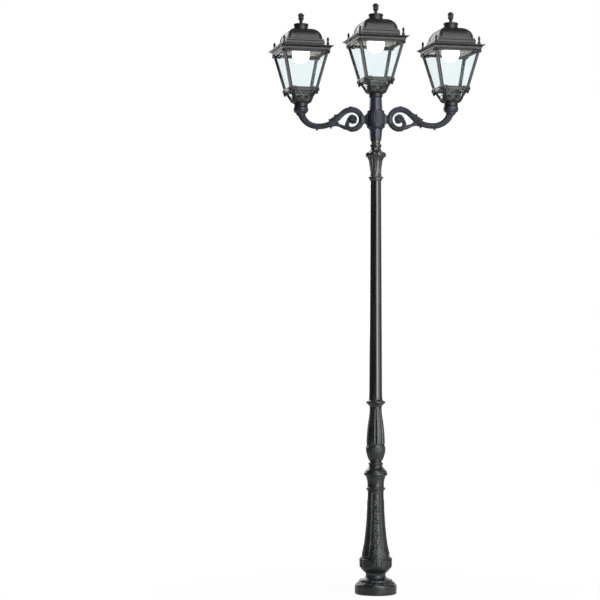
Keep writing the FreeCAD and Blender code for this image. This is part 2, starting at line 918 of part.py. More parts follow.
def band(body, name, path, first, last=None):
    """Sweep a band along a path, from its first section to its last."""
    route = body_sketch(body, name + "_path", "XZ_Plane")
    Outline(route).draw(path, closed=False)
    sweep = body.newObject("PartDesign::AdditivePipe", name)
    sweep.Profile = first
    sweep.Spine = route
    if last:
        sweep.Sections = [last]
        sweep.Transformation = "Multisection"


def upper_band(body):
    """The main band: up round the scroll's top, down its shoulder and into the dip."""
    bend = math.sqrt(0.5)
    eighth = math.tan(math.radians(45) / 4) / 2
    middle = size.arm_height
    low = middle - size.arm_dip
    shoulder = size.arm_shoulder_radius
    dip = size.arm_dip_radius
    centre = size.arm_scroll_centre
    top = middle + size.arm_scroll_radius
    fall = top - low - (shoulder + dip) * (1 - bend)
    shoulder_end = centre + shoulder * bend
    dip_start = shoulder_end + fall
    path = corners(
        (centre - size.arm_scroll_radius, middle),
        (centre, top, -QUARTER),
        (shoulder_end, top - shoulder * (1 - bend), -eighth),
        (dip_start, low + dip * (1 - bend)),
        (dip_start + dip * bend, low, eighth),
        (size.arm_reach - size.arm_elbow_radius, low),
    )
    first = section(body, "upper_section", "XY_Plane", size.arm_band, size.arm_band_width, path[0])
    band(body, "upper_band", path, first)


def elbow(body):
    """The elbow turns up and thickens towards the socket."""
    low = size.arm_height - size.arm_dip
    path = corners(
        (size.arm_reach - size.arm_elbow_radius, low),
        (size.arm_reach, low + size.arm_elbow_radius, QUARTER),
    )
    first = section(body, "elbow_start", "YZ_Plane", size.arm_band_width, size.arm_band, path[0])
    last = section(body, "elbow_end", "XY_Plane", size.arm_elbow_band, size.arm_elbow_band, path[1])
    band(body, "elbow", path, first, last)


def lower_band(body):
    """The scroll's lower half, which thins as it curls in to the rosette."""
    middle = size.arm_height
    centre = size.arm_scroll_centre
    low = middle - size.arm_scroll_radius
    volute = size.volute_radius
    path = corners(
        (centre - size.arm_scroll_radius, middle),
        (centre, low, QUARTER),
        (centre + volute, low + volute, QUARTER),
        (centre, low + volute * 2, QUARTER),
    )
    first = section(body, "scroll_section", "XY_Plane", size.arm_band, size.arm_band_width, path[0])
    last = section(body, "volute_section", "YZ_Plane", size.arm_band_width, size.volute_band, path[-1])
    band(body, "lower_band", path, first, last)


def rosette():
    """The round eye of the scroll, with a raised boss on each side."""
    across = size.arm_scroll_centre - size.rosette_set
    rods = (("disc", size.rosette_radius, size.rosette_width),
            ("boss", size.rosette_boss_radius, size.rosette_boss_width))
    return [cylinder("rosette_" + name, radius, wide, across, wide / 2, size.arm_height, (0, -1, 0))
            for name, radius, wide in rods]


def branch_leaf():
    """The thin leaf stalk that ties the scroll to the dip of the arm."""
    sketch = document.addObject("Sketcher::SketchObject", "branch_side")
    sketch.Placement = FreeCAD.Placement(Vector(), FACING_FRONT)
    middle = size.arm_height
    start = size.arm_scroll_centre + size.volute_radius
    end = size.arm_reach - size.arm_elbow_radius - size.arm_dip_radius / 2
    low = middle - size.arm_scroll_radius
    dip = middle - size.arm_dip
    Outline(sketch).draw(corners(
        (start - size.branch_root_set, low + size.branch_root_lift),
        (end, dip - size.branch_tip_drop, -0.14),
        (end - size.branch_tip_back, dip + size.branch_tip_rise),
        (start - size.branch_root_back, low + size.branch_root_rise, 0.2),
    ))
    leaf = document.addObject("Part::Extrusion", "branch_leaf")
    leaf.Base = sketch
    leaf.DirMode = "Normal"
    leaf.Symmetric = True
    leaf.Solid = True
    return bind(leaf, LengthFwd=size.branch_width)


def socket():
    """The cup at the arm's end that holds the spigot tube."""
    lip = size.socket_lip
    return place(turned("socket", corners(
        (0, 0),
        (size.socket_foot_radius, 0),
        (size.socket_radius, size.socket_height / 2),
        (size.socket_radius, size.socket_height - lip),
        (size.socket_radius - lip / 2, size.socket_height),
        (0, size.socket_height),
    )), size.arm_reach, 0, size.arm_height + size.arm_socket_rise - size.socket_height)


def arm():
    """One scrolled arm, drawn for the right side."""
    body = document.addObject("PartDesign::Body", "arm_bands")
    upper_band(body)
    elbow(body)
    lower_band(body)
    reach = size.arm_scroll_centre - size.arm_scroll_radius
    half = (reach - size.hub_drum_radius) / 2
    pad = box("arm_pad", half, size.arm_pad_width / 2, size.arm_height - size.arm_pad_height / 2,
              size.arm_pad_height, size.hub_drum_radius + half)
    solid = join("arm_solid", body, pad, *rosette(), branch_leaf(), socket())
    seat = size.arm_height + size.arm_socket_rise - size.socket_depth
    bore = cylinder("socket_bore", size.spigot_radius + size.socket_gap, size.socket_height * 2,
                    size.arm_reach, 0, seat)
    hole = bolt_way("arm_bolt_hole", size.arm_bolt_radius + size.core_gap, "right")
    return cut("arm", solid, group("arm_cuts", [bore, hole]))


def arms():
    shape = arm()
    base = size.arm_height + size.arm_socket_rise - size.socket_depth
    inner = size.spigot_radius - size.spigot_wall
    length = size.socket_depth + size.lantern_lift + spigot_top
    tube = turned("spigot", corners(
        (inner, 0), (size.spigot_radius, 0), (size.spigot_radius, length), (inner, length)))
    for side in ("left", "right"):
        turn = Rotation(Vector(0, 0, 1), 180) if side == "left" else None
        node(linked(f"{side}_arm", shape, up=level["hub"], turn=turn))
        node(linked(f"{side}_spigot", tube, size.arm_reach * LANTERNS[side], 0, level["hub"] + base))


def arm_bolts():
    """One bolt for each arm, driven outwards from the hub's room."""
    bolts = []
    for side in ("left", "right"):
        shank = bolt_way(f"{side}_shank", size.arm_bolt_radius, side)
        head = prism(f"{side}_head", size.arm_bolt_head_radius, size.arm_bolt_head, 0, 0, 0, sides=6)
        turn = Rotation(Vector(0, 0, 1), Vector(-LANTERNS[side], 0, 0))
        lying = linked(f"{side}_head_set", head, bolt_seat() * LANTERNS[side], 0, size.arm_height, turn)
        bolts.append(join(f"{side}_bolt", shank, lying))
    node(linked("arm_bolts", group("bolt_pair", bolts), up=level["hub"]))


# Lanterns, drawn from the collar's foot upwards

lantern_level = {"cage": size.collar_height}
lantern_level["frame"] = lantern_level["cage"] + size.cage_height
lantern_level["seal"] = lantern_level["frame"] + size.frame_height
lantern_level["roof"] = lantern_level["seal"] + size.seal_thickness
lantern_level["dome"] = lantern_level["roof"] + size.brim_height + size.skirt_height
lantern_level["chimney"] = lantern_level["dome"] + size.dome_height
lantern_level["finial"] = lantern_level["chimney"] + size.chimney_height
cup_outer = size.spigot_radius + size.cup_gap + size.cup_wall
frame_slope = (size.frame_top_half - size.frame_foot_half) / size.frame_height


def frame_half(height):
    """Half the frame's outer width at a height above its foot."""
    return size.frame_foot_half + frame_slope * height


def screw_rods(name, radius, start, length):
    """Three rods that point outwards round the collar."""
    rods = []
    for i in range(3):
        turn = math.radians(90 + 120 * i)
        way = (math.cos(turn), math.sin(turn), 0)
        rods.append(cylinder(f"{name}_{i + 1}", radius, length, start * way[0], start * way[1],
                             size.set_screw_height, way))
    return rods


def set_screws():
    start = size.spigot_radius + size.spigot_play + size.set_screw_gap
    length = size.collar_radius - start + size.set_screw_proud
    return group("set_screws", screw_rods("set_screw", size.set_screw_radius, start, length))


def collar():
    bore = size.spigot_radius + size.spigot_play
    ring = turned("collar_ring", corners(
        (bore, 0),
        (size.collar_radius - size.collar_edge, 0),
        (size.collar_radius, size.collar_edge, 0.15),
        (size.collar_radius, size.collar_height),
        (bore, size.collar_height),
    ))
    ways = screw_rods("screw_way", size.set_screw_radius + size.hinge_play, size.spigot_radius / 2,
                      size.collar_radius)
    return cut("collar", ring, group("screw_ways", ways))


def cage_form(name, inset, floor):
    """A bowl with a broad heel, round above the collar and square under the frame."""
    halves = (size.cage_foot_half, size.cage_heel_half, size.cage_waist_half, size.frame_foot_half)
    levels = (as_size(0), size.cage_heel_height, size.cage_waist_height, size.cage_height)
    side = [(half - inset, up + floor) for half, up in zip(halves, levels)]
    corner = [(half * share - inset, up + floor) for half, share, up in zip(halves, CAGE_CORNERS, levels)]
    square = square_form(name + "_square", corners(*side))
    chamfer = square_form(name + "_corner_cut", corners(*corner))
    return meet(name, square, linked(name + "_chamfer", chamfer, turn=Rotation(Vector(0, 0, 1), 45)))


def cage_shell():
    outer = cage_form("cage_outer", 0, 0)
    return cut("cage_shell", outer, cage_form("cage_inner", size.cage_wall, size.cage_floor))


def corner_knobs():
    """A knob under each corner of the frame."""
    reach = size.frame_foot_half - size.knob_set
    radius = size.knob_radius
    knob = faceted("corner_knob", corners(
        (size.knob_foot_radius, 0), (radius, size.knob_height / 2), (radius, size.knob_height)), 8)
    foot = size.cage_height - size.knob_height
    return [linked(f"corner_knob_{i + 1}", knob, reach * side, reach * front, foot)
            for i, (side, front) in enumerate(CORNERS)]


def cage():
    """The collar with four curved legs that rise from it to the frame's corners."""
    solid = join("cage_solid", cage_shell(), *corner_knobs())
    room = cylinder("cup_room", cup_outer + size.cup_gap, size.cage_height, up=-CUT_PAST)
    length = size.frame_foot_half * 4
    arches = []
    for number, way in enumerate(((1, 0, 0), (0, 1, 0))):
        back = -length / 2
        arches.append(cylinder(f"cage_arch_{number}", size.cage_arch_radius, length, back * way[0],
                               back * way[1], size.cage_arch_height, way))
    legs = cut("cage_legs", solid, group("cage_cuts", [room, *arches]))
    return join("cage", linked("cage_raised", legs, up=lantern_level["cage"]), collar())


def cable_cup():
    """The closed cup that seats on the spigot's end, under the diffuser."""
    bore = size.spigot_radius + size.cup_gap
    top = spigot_top + size.cup_cap - size.collar_height
    step = size.cup_step_height
    return place(turned("cable_cup", corners(
        (bore, 0),
        (cup_outer, 0),
        (cup_outer, step),
        (size.cup_radius_above, step),
        (size.cup_radius_above, top),
        (0, top),
        (0, top - size.cup_cap),
        (bore, top - size.cup_cap),
    )), up=lantern_level["cage"])


def frame_body():
    """Outside of the frame: a moulded foot rail, plain tapered posts and a stepped top rail."""
    proud = size.rail_proud
    rail_slope = size.foot_rail - size.foot_rail_slope
    rail_foot = size.frame_height - size.top_rail
    step = size.top_rail / 3
    return square_form("frame_body", corners(
        (size.frame_foot_half + proud / 2, 0),
        (frame_half(rail_slope) + proud / 2, rail_slope),
        (frame_half(size.foot_rail), size.foot_rail),
        (frame_half(rail_foot), rail_foot),
        (frame_half(rail_foot) + proud / 2, rail_foot),
        (frame_half(rail_foot) + proud / 2, rail_foot + step),
        (size.frame_top_half + proud / 4, rail_foot + step * 2, -0.1),
        (size.frame_top_half + proud, rail_foot + step * 2),
        (size.frame_top_half + proud, size.frame_height),
    ))


def frame_hollow():
    """Inside of the frame, which holds the diffuser and its rebated flange."""
    wall = size.frame_wall
    high = size.frame_height
    step = high - size.rebate_depth
    return square_form("frame_hollow", corners(
        (frame_half(-CUT_PAST) - wall, -CUT_PAST), (frame_half(step) - wall, step),
        (size.rebate_half, step), (size.rebate_half, high + CUT_PAST)))


def frame_windows():
    low = size.foot_rail
    high = size.frame_height - size.top_rail
    post = size.post_width
    # The window's foot stands on a level above the origin, so both its edges are drawn from there.
    return both_ways("windows", corners((frame_half(low) - post, low), (frame_half(high) - post, high)),
                     size.frame_top_half * 4)


hinge_reach = size.frame_top_half + size.rail_proud + size.hinge_offset
hinge_level = lantern_level["roof"] - size.hinge_drop
hinge_bore = size.hinge_pin_radius + size.hinge_play


def barrel(name, radius, length, start):
    """A rod along the hinge axis from a start across."""
    return cylinder(name, radius, length, start, hinge_reach, hinge_level, (1, 0, 0))


def frame_hinge():
    """Two barrels behind the top rail, each on a short block."""
    pieces = []
    radius = size.hinge_barrel_radius
    for side, way in (("left", -1), ("right", 1)):
        middle = (size.hinge_middle / 2 + size.hinge_gap + size.hinge_end / 2) * way
        pieces.append(barrel(f"frame_barrel_{side}", radius, size.hinge_end, middle - size.hinge_end / 2))
        half = (size.hinge_offset + 1) / 2
        pieces.append(box(f"frame_block_{side}", size.hinge_end / 2, half, hinge_level - radius,
                          radius * 2 - size.hinge_gap, middle, hinge_reach - half))
    return pieces


def frame():
    """A square frame that widens upwards, with a window in each face and the hinge behind."""
    opened = cut("frame_opened", frame_body(), join("frame_cuts", frame_hollow(), frame_windows()))
    raised = linked("frame_raised", opened, up=lantern_level["frame"])
    hinged = join("frame_hinged", raised, *frame_hinge())
    length = size.hinge_middle * 3
    return cut("frame", hinged, barrel("frame_pin_way", hinge_bore, length, -length / 2))


def diffuser():
    """A clear tapered bucket that hangs by its flange in the frame's rebate."""
    wall = size.diffuser_wall
    drop = size.diffuser_drop
    foot = size.diffuser_foot_half
    waist = size.diffuser_waist_half
    top = drop + size.frame_height - size.rebate_depth
    mouth = frame_half(top - drop) - size.frame_wall - size.diffuser_gap
    flange = size.rebate_half - size.diffuser_gap
    outer = square_form("diffuser_outer", corners(
        (foot, 0), (waist, drop), (mouth, top), (flange, top), (flange, top + size.rebate_depth)))
    inner = square_form("diffuser_inner", corners(
        (foot - wall, wall), (waist - wall, drop), (mouth - wall, top), (mouth - wall, top + CUT_PAST)))
    return place(cut("diffuser", outer, inner), up=lantern_level["frame"] - drop)


def roof_seal():
    thick = size.seal_thickness
    outer, inner = size.seal_outer_half, size.seal_inner_half
    ring = box("seal_outer", outer, outer, 0, thick)
    hole = box("seal_inner", inner, inner, -CUT_PAST, thick + CUT_PAST * 2)
    return place(cut("roof_seal", ring, hole), up=lantern_level["seal"])


def roof_outside():
    """Brim, skirt and vaulted dome as one moulded form."""
    brim = size.brim_height
    skirt = brim + size.skirt_height
    return square_form("roof_outside", corners(
        (size.brim_flat_half, 0),
        (size.brim_half, brim - size.brim_edge),
        (size.brim_half, brim),
        (size.skirt_foot_half, brim),
        (size.skirt_foot_half, brim + size.skirt_lip),
        (size.skirt_bulge_half, brim + size.skirt_bulge_height, 0.18),
        (size.skirt_top_half, skirt),
        (size.dome_half, skirt),
        (size.dome_top_half, skirt + size.dome_height, DOME_CURVE),
    ), curved=True)


def roof_hollow():
    """Room inside the roof, a wall's thickness within its outside."""
    wall = size.roof_wall
    skirt = size.brim_height + size.skirt_height
    return square_form("roof_hollow", corners(
        (size.roof_mouth_half, -CUT_PAST),
        (size.roof_mouth_half, wall),
        (size.skirt_bulge_half - wall, wall),
        (size.dome_half - wall, skirt),
        (size.dome_top_half - wall / 2, skirt + size.dome_height - wall, DOME_CURVE),
    ), curved=True)


def hips():
    """Raised bands along the four hips of the dome, cut off round the chimney."""
    proud = size.hip_proud
    vault = square_form("hip_vault", corners(
        (size.dome_half + proud, 0),
        (size.dome_top_half + proud, size.dome_height + proud, DOME_CURVE),
    ), curved=True)
    slabs = []
    for turn in (45, 135):
        slab = box(f"hip_slab_{turn}", size.dome_half * 1.5, size.hip_width / 2, 0, size.dome_height * 1.5)
        slabs.append(linked(f"hip_slab_set_{turn}", slab, turn=Rotation(Vector(0, 0, 1), turn)))
    crossed = meet("hips_crossed", vault, join("hip_slabs", *slabs))
    clear = cylinder("hip_clear", size.chimney_lip_radius, size.dome_height * 2)
    return linked("hips", cut("hips_cut", crossed, clear), up=size.brim_height + size.skirt_height)


def roof_hinge():
    """The middle barrel, on a block that hangs from the brim."""
    half = size.hinge_middle / 2
    radius = size.hinge_barrel_radius
    block = box("roof_block", half, radius, hinge_level, size.hinge_drop + size.brim_height / 3,
                0, hinge_reach)
    return [barrel("roof_barrel", radius, size.hinge_middle, -half), block]


def roof():
    solid = join("roof_solid", roof_outside(), hips())
    shell = cut("roof_shell", solid, roof_hollow())
    raised = linked("roof_raised", shell, up=lantern_level["roof"])
    hinged = join("roof_hinged", raised, *roof_hinge())
    return cut("roof", hinged, barrel("roof_pin_way", hinge_bore, size.hinge_middle * 2, -size.hinge_middle))


def hinge_pin():
    length = size.hinge_middle + (size.hinge_gap + size.hinge_end) * 2
    return barrel("hinge_pin", size.hinge_pin_radius, length, -length / 2)


def chimney_cap():
    """A short round neck under a lid with a rounded lip."""
    lip = size.chimney_lip_radius
    edge = size.chimney_edge
    neck = size.chimney_neck_height
    top = size.chimney_height
    return place(faceted("chimney_cap", corners(
        (size.chimney_radius, 0),
        (size.chimney_radius, neck - edge),
        (lip, neck),
        (lip, top - edge),
        (lip - edge, top),
    ), ROUND_SIDES), up=lantern_level["chimney"])


def finial():
    """A tulip of six petals with a bud, on a ringed stem."""
    waist, ring = size.finial_waist_radius, size.finial_ring_radius
    radii = (size.finial_foot_radius, waist, ring, ring, waist, size.tulip_radius, size.tulip_rim_radius,
             size.bud_radius, size.bud_shoulder_radius, size.bud_tip_radius)
    side = [(radius, size.finial_height * share) for radius, share in zip(radii, FINIAL_LEVELS)]
    return place(faceted("finial", corners(*side), PETALS), up=lantern_level["finial"])


def pinnacles():
    """Four small pinnacles, one on each corner of the brim."""
    foot, neck, bulb = size.pinnacle_radius, size.pinnacle_neck_radius, size.pinnacle_bulb_radius
    radii = (foot, foot, neck, neck, bulb, bulb, neck, size.pinnacle_tip_radius)
    side = [(radius, size.pinnacle_height * share) for radius, share in zip(radii, PINNACLE_LEVELS)]
    single = faceted("pinnacle", corners(*side), 8)
    reach = size.pinnacle_reach
    base = lantern_level["roof"] + size.brim_height
    spots = [linked(f"pinnacle_{i + 1}", single, reach * way, reach * front, base)
             for i, (way, front) in enumerate(CORNERS)]
    return group("pinnacles", spots)


def reflector():
    """A shallow tray under the roof, with a round step that carries the bowl."""
    thick = size.reflector_thickness
    lip_half = size.reflector_lip_half
    plate = box("reflector_plate", size.reflector_half, size.reflector_half, -thick, thick)
    lip_outer = box("lip_outer", lip_half, lip_half, -size.reflector_lip, size.reflector_lip)
    lip_inner = box("lip_inner", lip_half - thick, lip_half - thick, -size.reflector_lip - CUT_PAST,
                    size.reflector_lip + CUT_PAST - thick)
    step = cylinder("reflector_round", size.reflector_step_radius, thick + size.reflector_step, 0, 0,
                    -thick - size.reflector_step)
    tray = cut("tray_lip", lip_outer, lip_inner)
    return place(join("reflector", plate, tray, step), up=lantern_level["roof"])


bowl_top = lantern_level["roof"] - size.reflector_thickness - size.reflector_step


def bowl_side(radius, foot, rim):
    """A half sphere that stands on its crown, with a straight rim above it."""
    levels = [(radius * math.sin(turn), foot + radius * (1 - math.cos(turn))) for turn in BOWL_TURNS]
    return corners((radius * BOWL_CROWN, foot), *levels, (radius, rim))


def opal_bowl():
    wall = size.bowl_wall
    depth = size.bowl_depth
    outside = faceted("bowl_outside", bowl_side(size.bowl_radius, 0, depth), ROUND_SIDES)
    inside = faceted("bowl_inside", bowl_side(size.bowl_radius - wall, wall, depth + CUT_PAST), ROUND_SIDES)
    return place(cut("opal_bowl", outside, inside), up=bowl_top - depth)


def light_module():
    """A flat disc of lights inside the bowl's mouth."""
    return prism("light_module", size.module_radius, size.module_thickness, 0, 0,
                 bowl_top - size.module_thickness, ROUND_SIDES)


def driver():
    """The driver box on the reflector, inside the dome."""
    return box("driver", size.driver_length / 2, size.driver_width / 2, lantern_level["roof"],
               size.driver_height)


def lanterns():
    """Draw every lantern piece once and stand it on each of the three spigots."""
    pieces = [cage(), set_screws(), cable_cup(), frame(), diffuser(), roof_seal(), hinge_pin(), roof(),
              chimney_cap(), finial(), pinnacles(), reflector(), opal_bowl(), light_module(), driver()]
    side_level = level["hub"] + size.arm_height + size.arm_socket_rise + size.lantern_lift
    middle_level = level["top"] + size.lantern_lift
    for side, way in LANTERNS.items():
        up = side_level if way else middle_level
        for piece in pieces:
            turned_to = Rotation(Vector(0, 0, 1), size.lantern_yaw.number)
            stood = linked(f"{side}_{piece.Label}", piece, size.arm_reach * way, 0, up, turned_to)
            stood.setExpression(".Placement.Rotation.Angle", size.lantern_yaw.formula)
            node(stood)


# Write the pieces

def check(thing):
    if "Invalid" in thing.State or "Error" in thing.State:
        raise RuntimeError(f"{thing.Label} did not build")


def write_parts():
    document.recompute()
    for thing in document.Objects:
        check(thing)
    os.makedirs("parts", exist_ok=True)
    for thing in nodes:
        shape = thing.Shape
        if shape.isNull() or not shape.isValid() or not shape.Solids:
            raise RuntimeError(f"{thing.Label} has no valid solid")
        shape.exportStep(f"parts/{thing.Label}.step")
        print(f"{thing.Label}: {len(shape.Solids)} solid(s), {shape.Volume / 1000:.1f} cm3")


foot_plate()
core_tube()
plinth()
column()
knop()
vase()
tapered_tube()
capital()
hub()
arms()
arm_bolts()
lanterns()
write_parts()
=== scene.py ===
"""Looks of a triple head lamp post: its carved castings, three lanterns, paint, light and camera.

The post stands on Z = 0 and the lanterns face -Y. Shapes are drawn in millimetres, and a piece
is brought to metres when it is finished.
"""

import logging
import math
from collections.abc import Callable, Sequence
from dataclasses import dataclass, replace
from enum import Enum
from functools import cache

import bmesh
import bpy
import numpy as np
from mathutils import Matrix, Vector


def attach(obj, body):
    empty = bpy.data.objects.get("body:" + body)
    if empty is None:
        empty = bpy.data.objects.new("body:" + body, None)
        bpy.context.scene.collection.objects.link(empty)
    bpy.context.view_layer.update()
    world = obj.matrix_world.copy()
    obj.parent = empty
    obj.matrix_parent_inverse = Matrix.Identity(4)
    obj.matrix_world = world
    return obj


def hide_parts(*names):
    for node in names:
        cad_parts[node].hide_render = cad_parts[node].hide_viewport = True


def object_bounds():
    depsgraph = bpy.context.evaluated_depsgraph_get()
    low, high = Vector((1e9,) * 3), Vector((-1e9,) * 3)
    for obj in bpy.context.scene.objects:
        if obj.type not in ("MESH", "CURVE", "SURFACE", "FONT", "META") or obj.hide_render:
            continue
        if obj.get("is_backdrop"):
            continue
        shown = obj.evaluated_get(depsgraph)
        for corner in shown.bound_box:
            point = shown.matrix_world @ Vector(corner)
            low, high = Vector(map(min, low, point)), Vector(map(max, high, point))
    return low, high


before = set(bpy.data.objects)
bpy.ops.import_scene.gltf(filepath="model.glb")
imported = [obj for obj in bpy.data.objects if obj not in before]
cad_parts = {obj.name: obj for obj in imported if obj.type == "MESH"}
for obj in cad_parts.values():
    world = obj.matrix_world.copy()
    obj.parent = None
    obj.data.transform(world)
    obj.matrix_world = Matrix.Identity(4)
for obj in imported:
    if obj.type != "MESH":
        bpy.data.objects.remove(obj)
CAD_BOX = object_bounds()

MM = 0.001
QUARTER = (math.sqrt(2) - 1) / 2
LEAST_ARC = 5
SHARP = 0.6
LOBE_DEPTH = 0.18
MIDRIB_DEPTH = 0.4
VEIN_DEPTH = 0.12
Colour = tuple[float, float, float, float]
Outline = list[tuple[float, float]]
Points = Sequence[tuple[float, ...]]
Array = np.ndarray
Field = Callable[[Array], Array]

log = logging.getLogger("lamp_post")

HERE = Matrix.Identity(4)
FACING_FRONT = Matrix.Rotation(math.radians(90), 4, "X")
FACING_SIDE = Matrix.Rotation(math.radians(90), 4, "Y")


def shade(red: int, green: int, blue: int) -> Colour:
    """Turn a colour as it is seen on screen into the light that it reflects.

    Args:
        red: Red, from 0 to 255.
        green: Green, from 0 to 255.
        blue: Blue, from 0 to 255.

    Returns:
        The linear colour with full opacity.
    """
    linear = [((c / 255 + 0.055) / 1.055) ** 2.4 if c > 10 else c / 255 / 12.92 for c in (red, green, blue)]
    return (linear[0], linear[1], linear[2], 1.0)


def put_in_scene(name: str, data: bpy.types.ID) -> bpy.types.Object:
    """Make an object of a mesh, light or camera and link it to the scene.

    Args:
        name: The object's name.
        data: Its mesh, light or camera.

    Returns:
        The object, linked to the scene.
    """
    holder = bpy.data.objects.new(name, data)
    bpy.context.scene.collection.objects.link(holder)
    return holder


# Finishes


class Signal:
    """A number that varies over a surface. Arithmetic on it adds Math nodes."""

    def __init__(self, wiring: "Wiring", socket: bpy.types.NodeSocket | None) -> None:
        """Wrap one output socket."""
        self.wiring = wiring
        self.socket = socket

    def _math(self, operation: str, first: object, second: object) -> "Signal":
        """Join two values by one Math operation."""
        return self.wiring.node("ShaderNodeMath", {"operation": operation}, {0: first, 1: second})

    def __add__(self, other: object) -> "Signal":
        """Add a value."""
        return self._math("ADD", self, other)

    def __sub__(self, other: object) -> "Signal":
        """Take a value away."""
        return self._math("SUBTRACT", self, other)

    def __rsub__(self, other: object) -> "Signal":
        """Take away from a value."""
        return self._math("SUBTRACT", other, self)

    def __mul__(self, other: object) -> "Signal":
        """Multiply by a value."""
        return self._math("MULTIPLY", self, other)

    __radd__ = __add__
    __rmul__ = __mul__

    def between(self, low: float, high: float) -> "Signal":
        """Stretch the part from low to high over 0 to 1.

        Args:
            low: What becomes 0.
            high: What becomes 1.

        Returns:
            The stretched signal, clamped at both ends.
        """
        values = {0: self, 1: low, 2: high}
        return self.wiring.node("ShaderNodeMapRange", {"interpolation_type": "SMOOTHSTEP"}, values)


class Wiring:
    """The node tree of a material or of the surroundings."""

    def __init__(self, owner: bpy.types.Material | bpy.types.World) -> None:
        """Start with an empty tree.

        Args:
            owner: The material or the surroundings that it belongs to.
        """
        self.owner = owner
        owner.use_nodes = True
        self.tree = owner.node_tree
        self.tree.nodes.clear()
        self.place = self.node("ShaderNodeTexCoord", output="Object")

    @classmethod
    def of_material(cls, name: str) -> "Wiring":
        """Start a new material."""
        return cls(bpy.data.materials.new(name))

    def node(self, kind: str, settings: dict[str, object] | None = None,
             inputs: dict[int | str, object] | None = None, output: int | str = 0) -> Signal:
        """Add a node, give it its settings and then its inputs.

        Args:
            kind: The node's type.
            settings: Its own properties, which are set first.
            inputs: A value or a signal for each named or numbered socket.
            output: Which of its outputs is returned.

        Returns:
            That output, or an empty signal where the node ends the tree.
        """
        made = self.tree.nodes.new(kind)
        for key, value in (settings or {}).items():
            setattr(made, key, value)
        for key, value in (inputs or {}).items():
            if isinstance(value, Signal):
                self.tree.links.new(value.socket, made.inputs[key])
            else:
                made.inputs[key].default_value = value
        return Signal(self, made.outputs[output] if made.outputs else None)

    def grain(self, size: float, detail: float = 2.0,
              stretch: tuple[float, float, float] = (1, 1, 1)) -> Signal:
        """Noise whose spots are about a size in millimetres.

        Args:
            size: The spots' size.
            detail: How much finer structure they hold.
            stretch: How the pattern is drawn out along each axis.

        Returns:
            The noise, about 0.5 on average.
        """
        where = self.place
        if stretch != (1, 1, 1):
            scale = tuple(1 / part for part in stretch)
            where = self.node("ShaderNodeMapping", None, {"Vector": self.place, "Scale": scale})
        values = {"Vector": where, "Scale": 1 / (size * MM * 2), "Detail": detail, "Roughness": 0.55}
        return self.node("ShaderNodeTexNoise", None, values)

    def mix(self, share: object, first: object, second: object) -> Signal:
        """Blend two colours.

        Args:
            share: How much of the second shows.
            first: The first colour.
            second: The second colour.

        Returns:
            The blended colour.
        """
        values = {0: share, 6: first, 7: second}
        return self.node("ShaderNodeMix", {"data_type": "RGBA"}, values, output=2)

    def bump(self, height: Signal, depth: float) -> Signal:
        """Relief of a surface.

        Args:
            height: The relief, from 0 to 1.
            depth: How high it stands, in millimetres.

        Returns:
            The tilted normal.
        """
        values = {"Height": height, "Distance": depth * MM, "Strength": 1.0}
        return self.node("ShaderNodeBump", None, values)

    def surface(self, **inputs: object) -> bpy.types.Material:
        """Close the material with one glossy surface.

        Args:
            **inputs: The surface's values, with underscores for spaces.

        Returns:
            The finished material.
        """
        named = {key.replace("_", " "): value for key, value in inputs.items()}
        self.node("ShaderNodeOutputMaterial", None,
                  {"Surface": self.node("ShaderNodeBsdfPrincipled", None, named)})
        return self.owner

    def blend(self, share: Signal, first: Signal, second: Signal, end: str) -> None:
        """Close the tree with two surfaces, of which the second shows by a share."""
        both = self.node("ShaderNodeMixShader", None, {0: share, 1: first, 2: second})
        self.node(end, None, {"Surface": both})


@dataclass(frozen=True)
class CastPaint:
    """Satin paint over a sand casting: a fine grain, soft mottling and paler crumbs."""

    name: str
    deep: Colour
    pale: Colour
    grain: float = 1.2
    relief: float = 0.22
    roughness: float = 0.5
    coat: float = 0.15
    crumbs: float = 0.5
    mottle: float = 26.0
    coat_roughness: float = 0.25
    gloss_swing: float = 0.3
    crumb_size: float = 1.6
    cloud_relief: float = 0.8

    def material(self) -> bpy.types.Material:
        """Wire the paint.

        Returns:
            The wired material.
        """
        wiring = Wiring.of_material(self.name)
        grain = wiring.grain(self.grain, detail=3.0)
        clouds = wiring.grain(self.mottle, detail=3.0)
        crumbs = wiring.grain(self.grain * self.crumb_size).between(0.5, 0.74)
        share = clouds.between(0.38, 0.68) * (1 - self.crumbs) + crumbs * self.crumbs
        return wiring.surface(
            Base_Color=wiring.mix(share, self.deep, self.pale),
            Roughness=self.roughness + (grain - 0.5) * self.gloss_swing,
            Coat_Weight=self.coat,
            Coat_Roughness=self.coat_roughness,
            Normal=wiring.bump(grain + clouds * self.cloud_relief, self.relief),
        )


@dataclass(frozen=True)
class GlossPaint:
    """Gloss paint over drawn steel, with a faint orange peel and runs along the tube."""

    name: str
    deep: Colour
    pale: Colour
    roughness: float = 0.24
    peel: float = 3.2
    relief: float = 0.05
    runs: float = 9.0
    drawn_out: float = 14.0
    coat: float = 0.6
    coat_roughness: float = 0.12
    gloss_swing: float = 0.2

    def material(self) -> bpy.types.Material:
        """Wire the paint.

        Returns:
            The wired material.
        """
        wiring = Wiring.of_material(self.name)
        peel = wiring.grain(self.peel, detail=1.0)
        runs = wiring.grain(self.runs, detail=3.0, stretch=(1, 1, self.drawn_out))
        return wiring.surface(
            Base_Color=wiring.mix(runs.between(0.35, 0.7), self.deep, self.pale),
            Roughness=self.roughness + (runs - 0.5) * self.gloss_swing,
            Coat_Weight=self.coat,
            Coat_Roughness=self.coat_roughness,
            Normal=wiring.bump(peel, self.relief),
        )


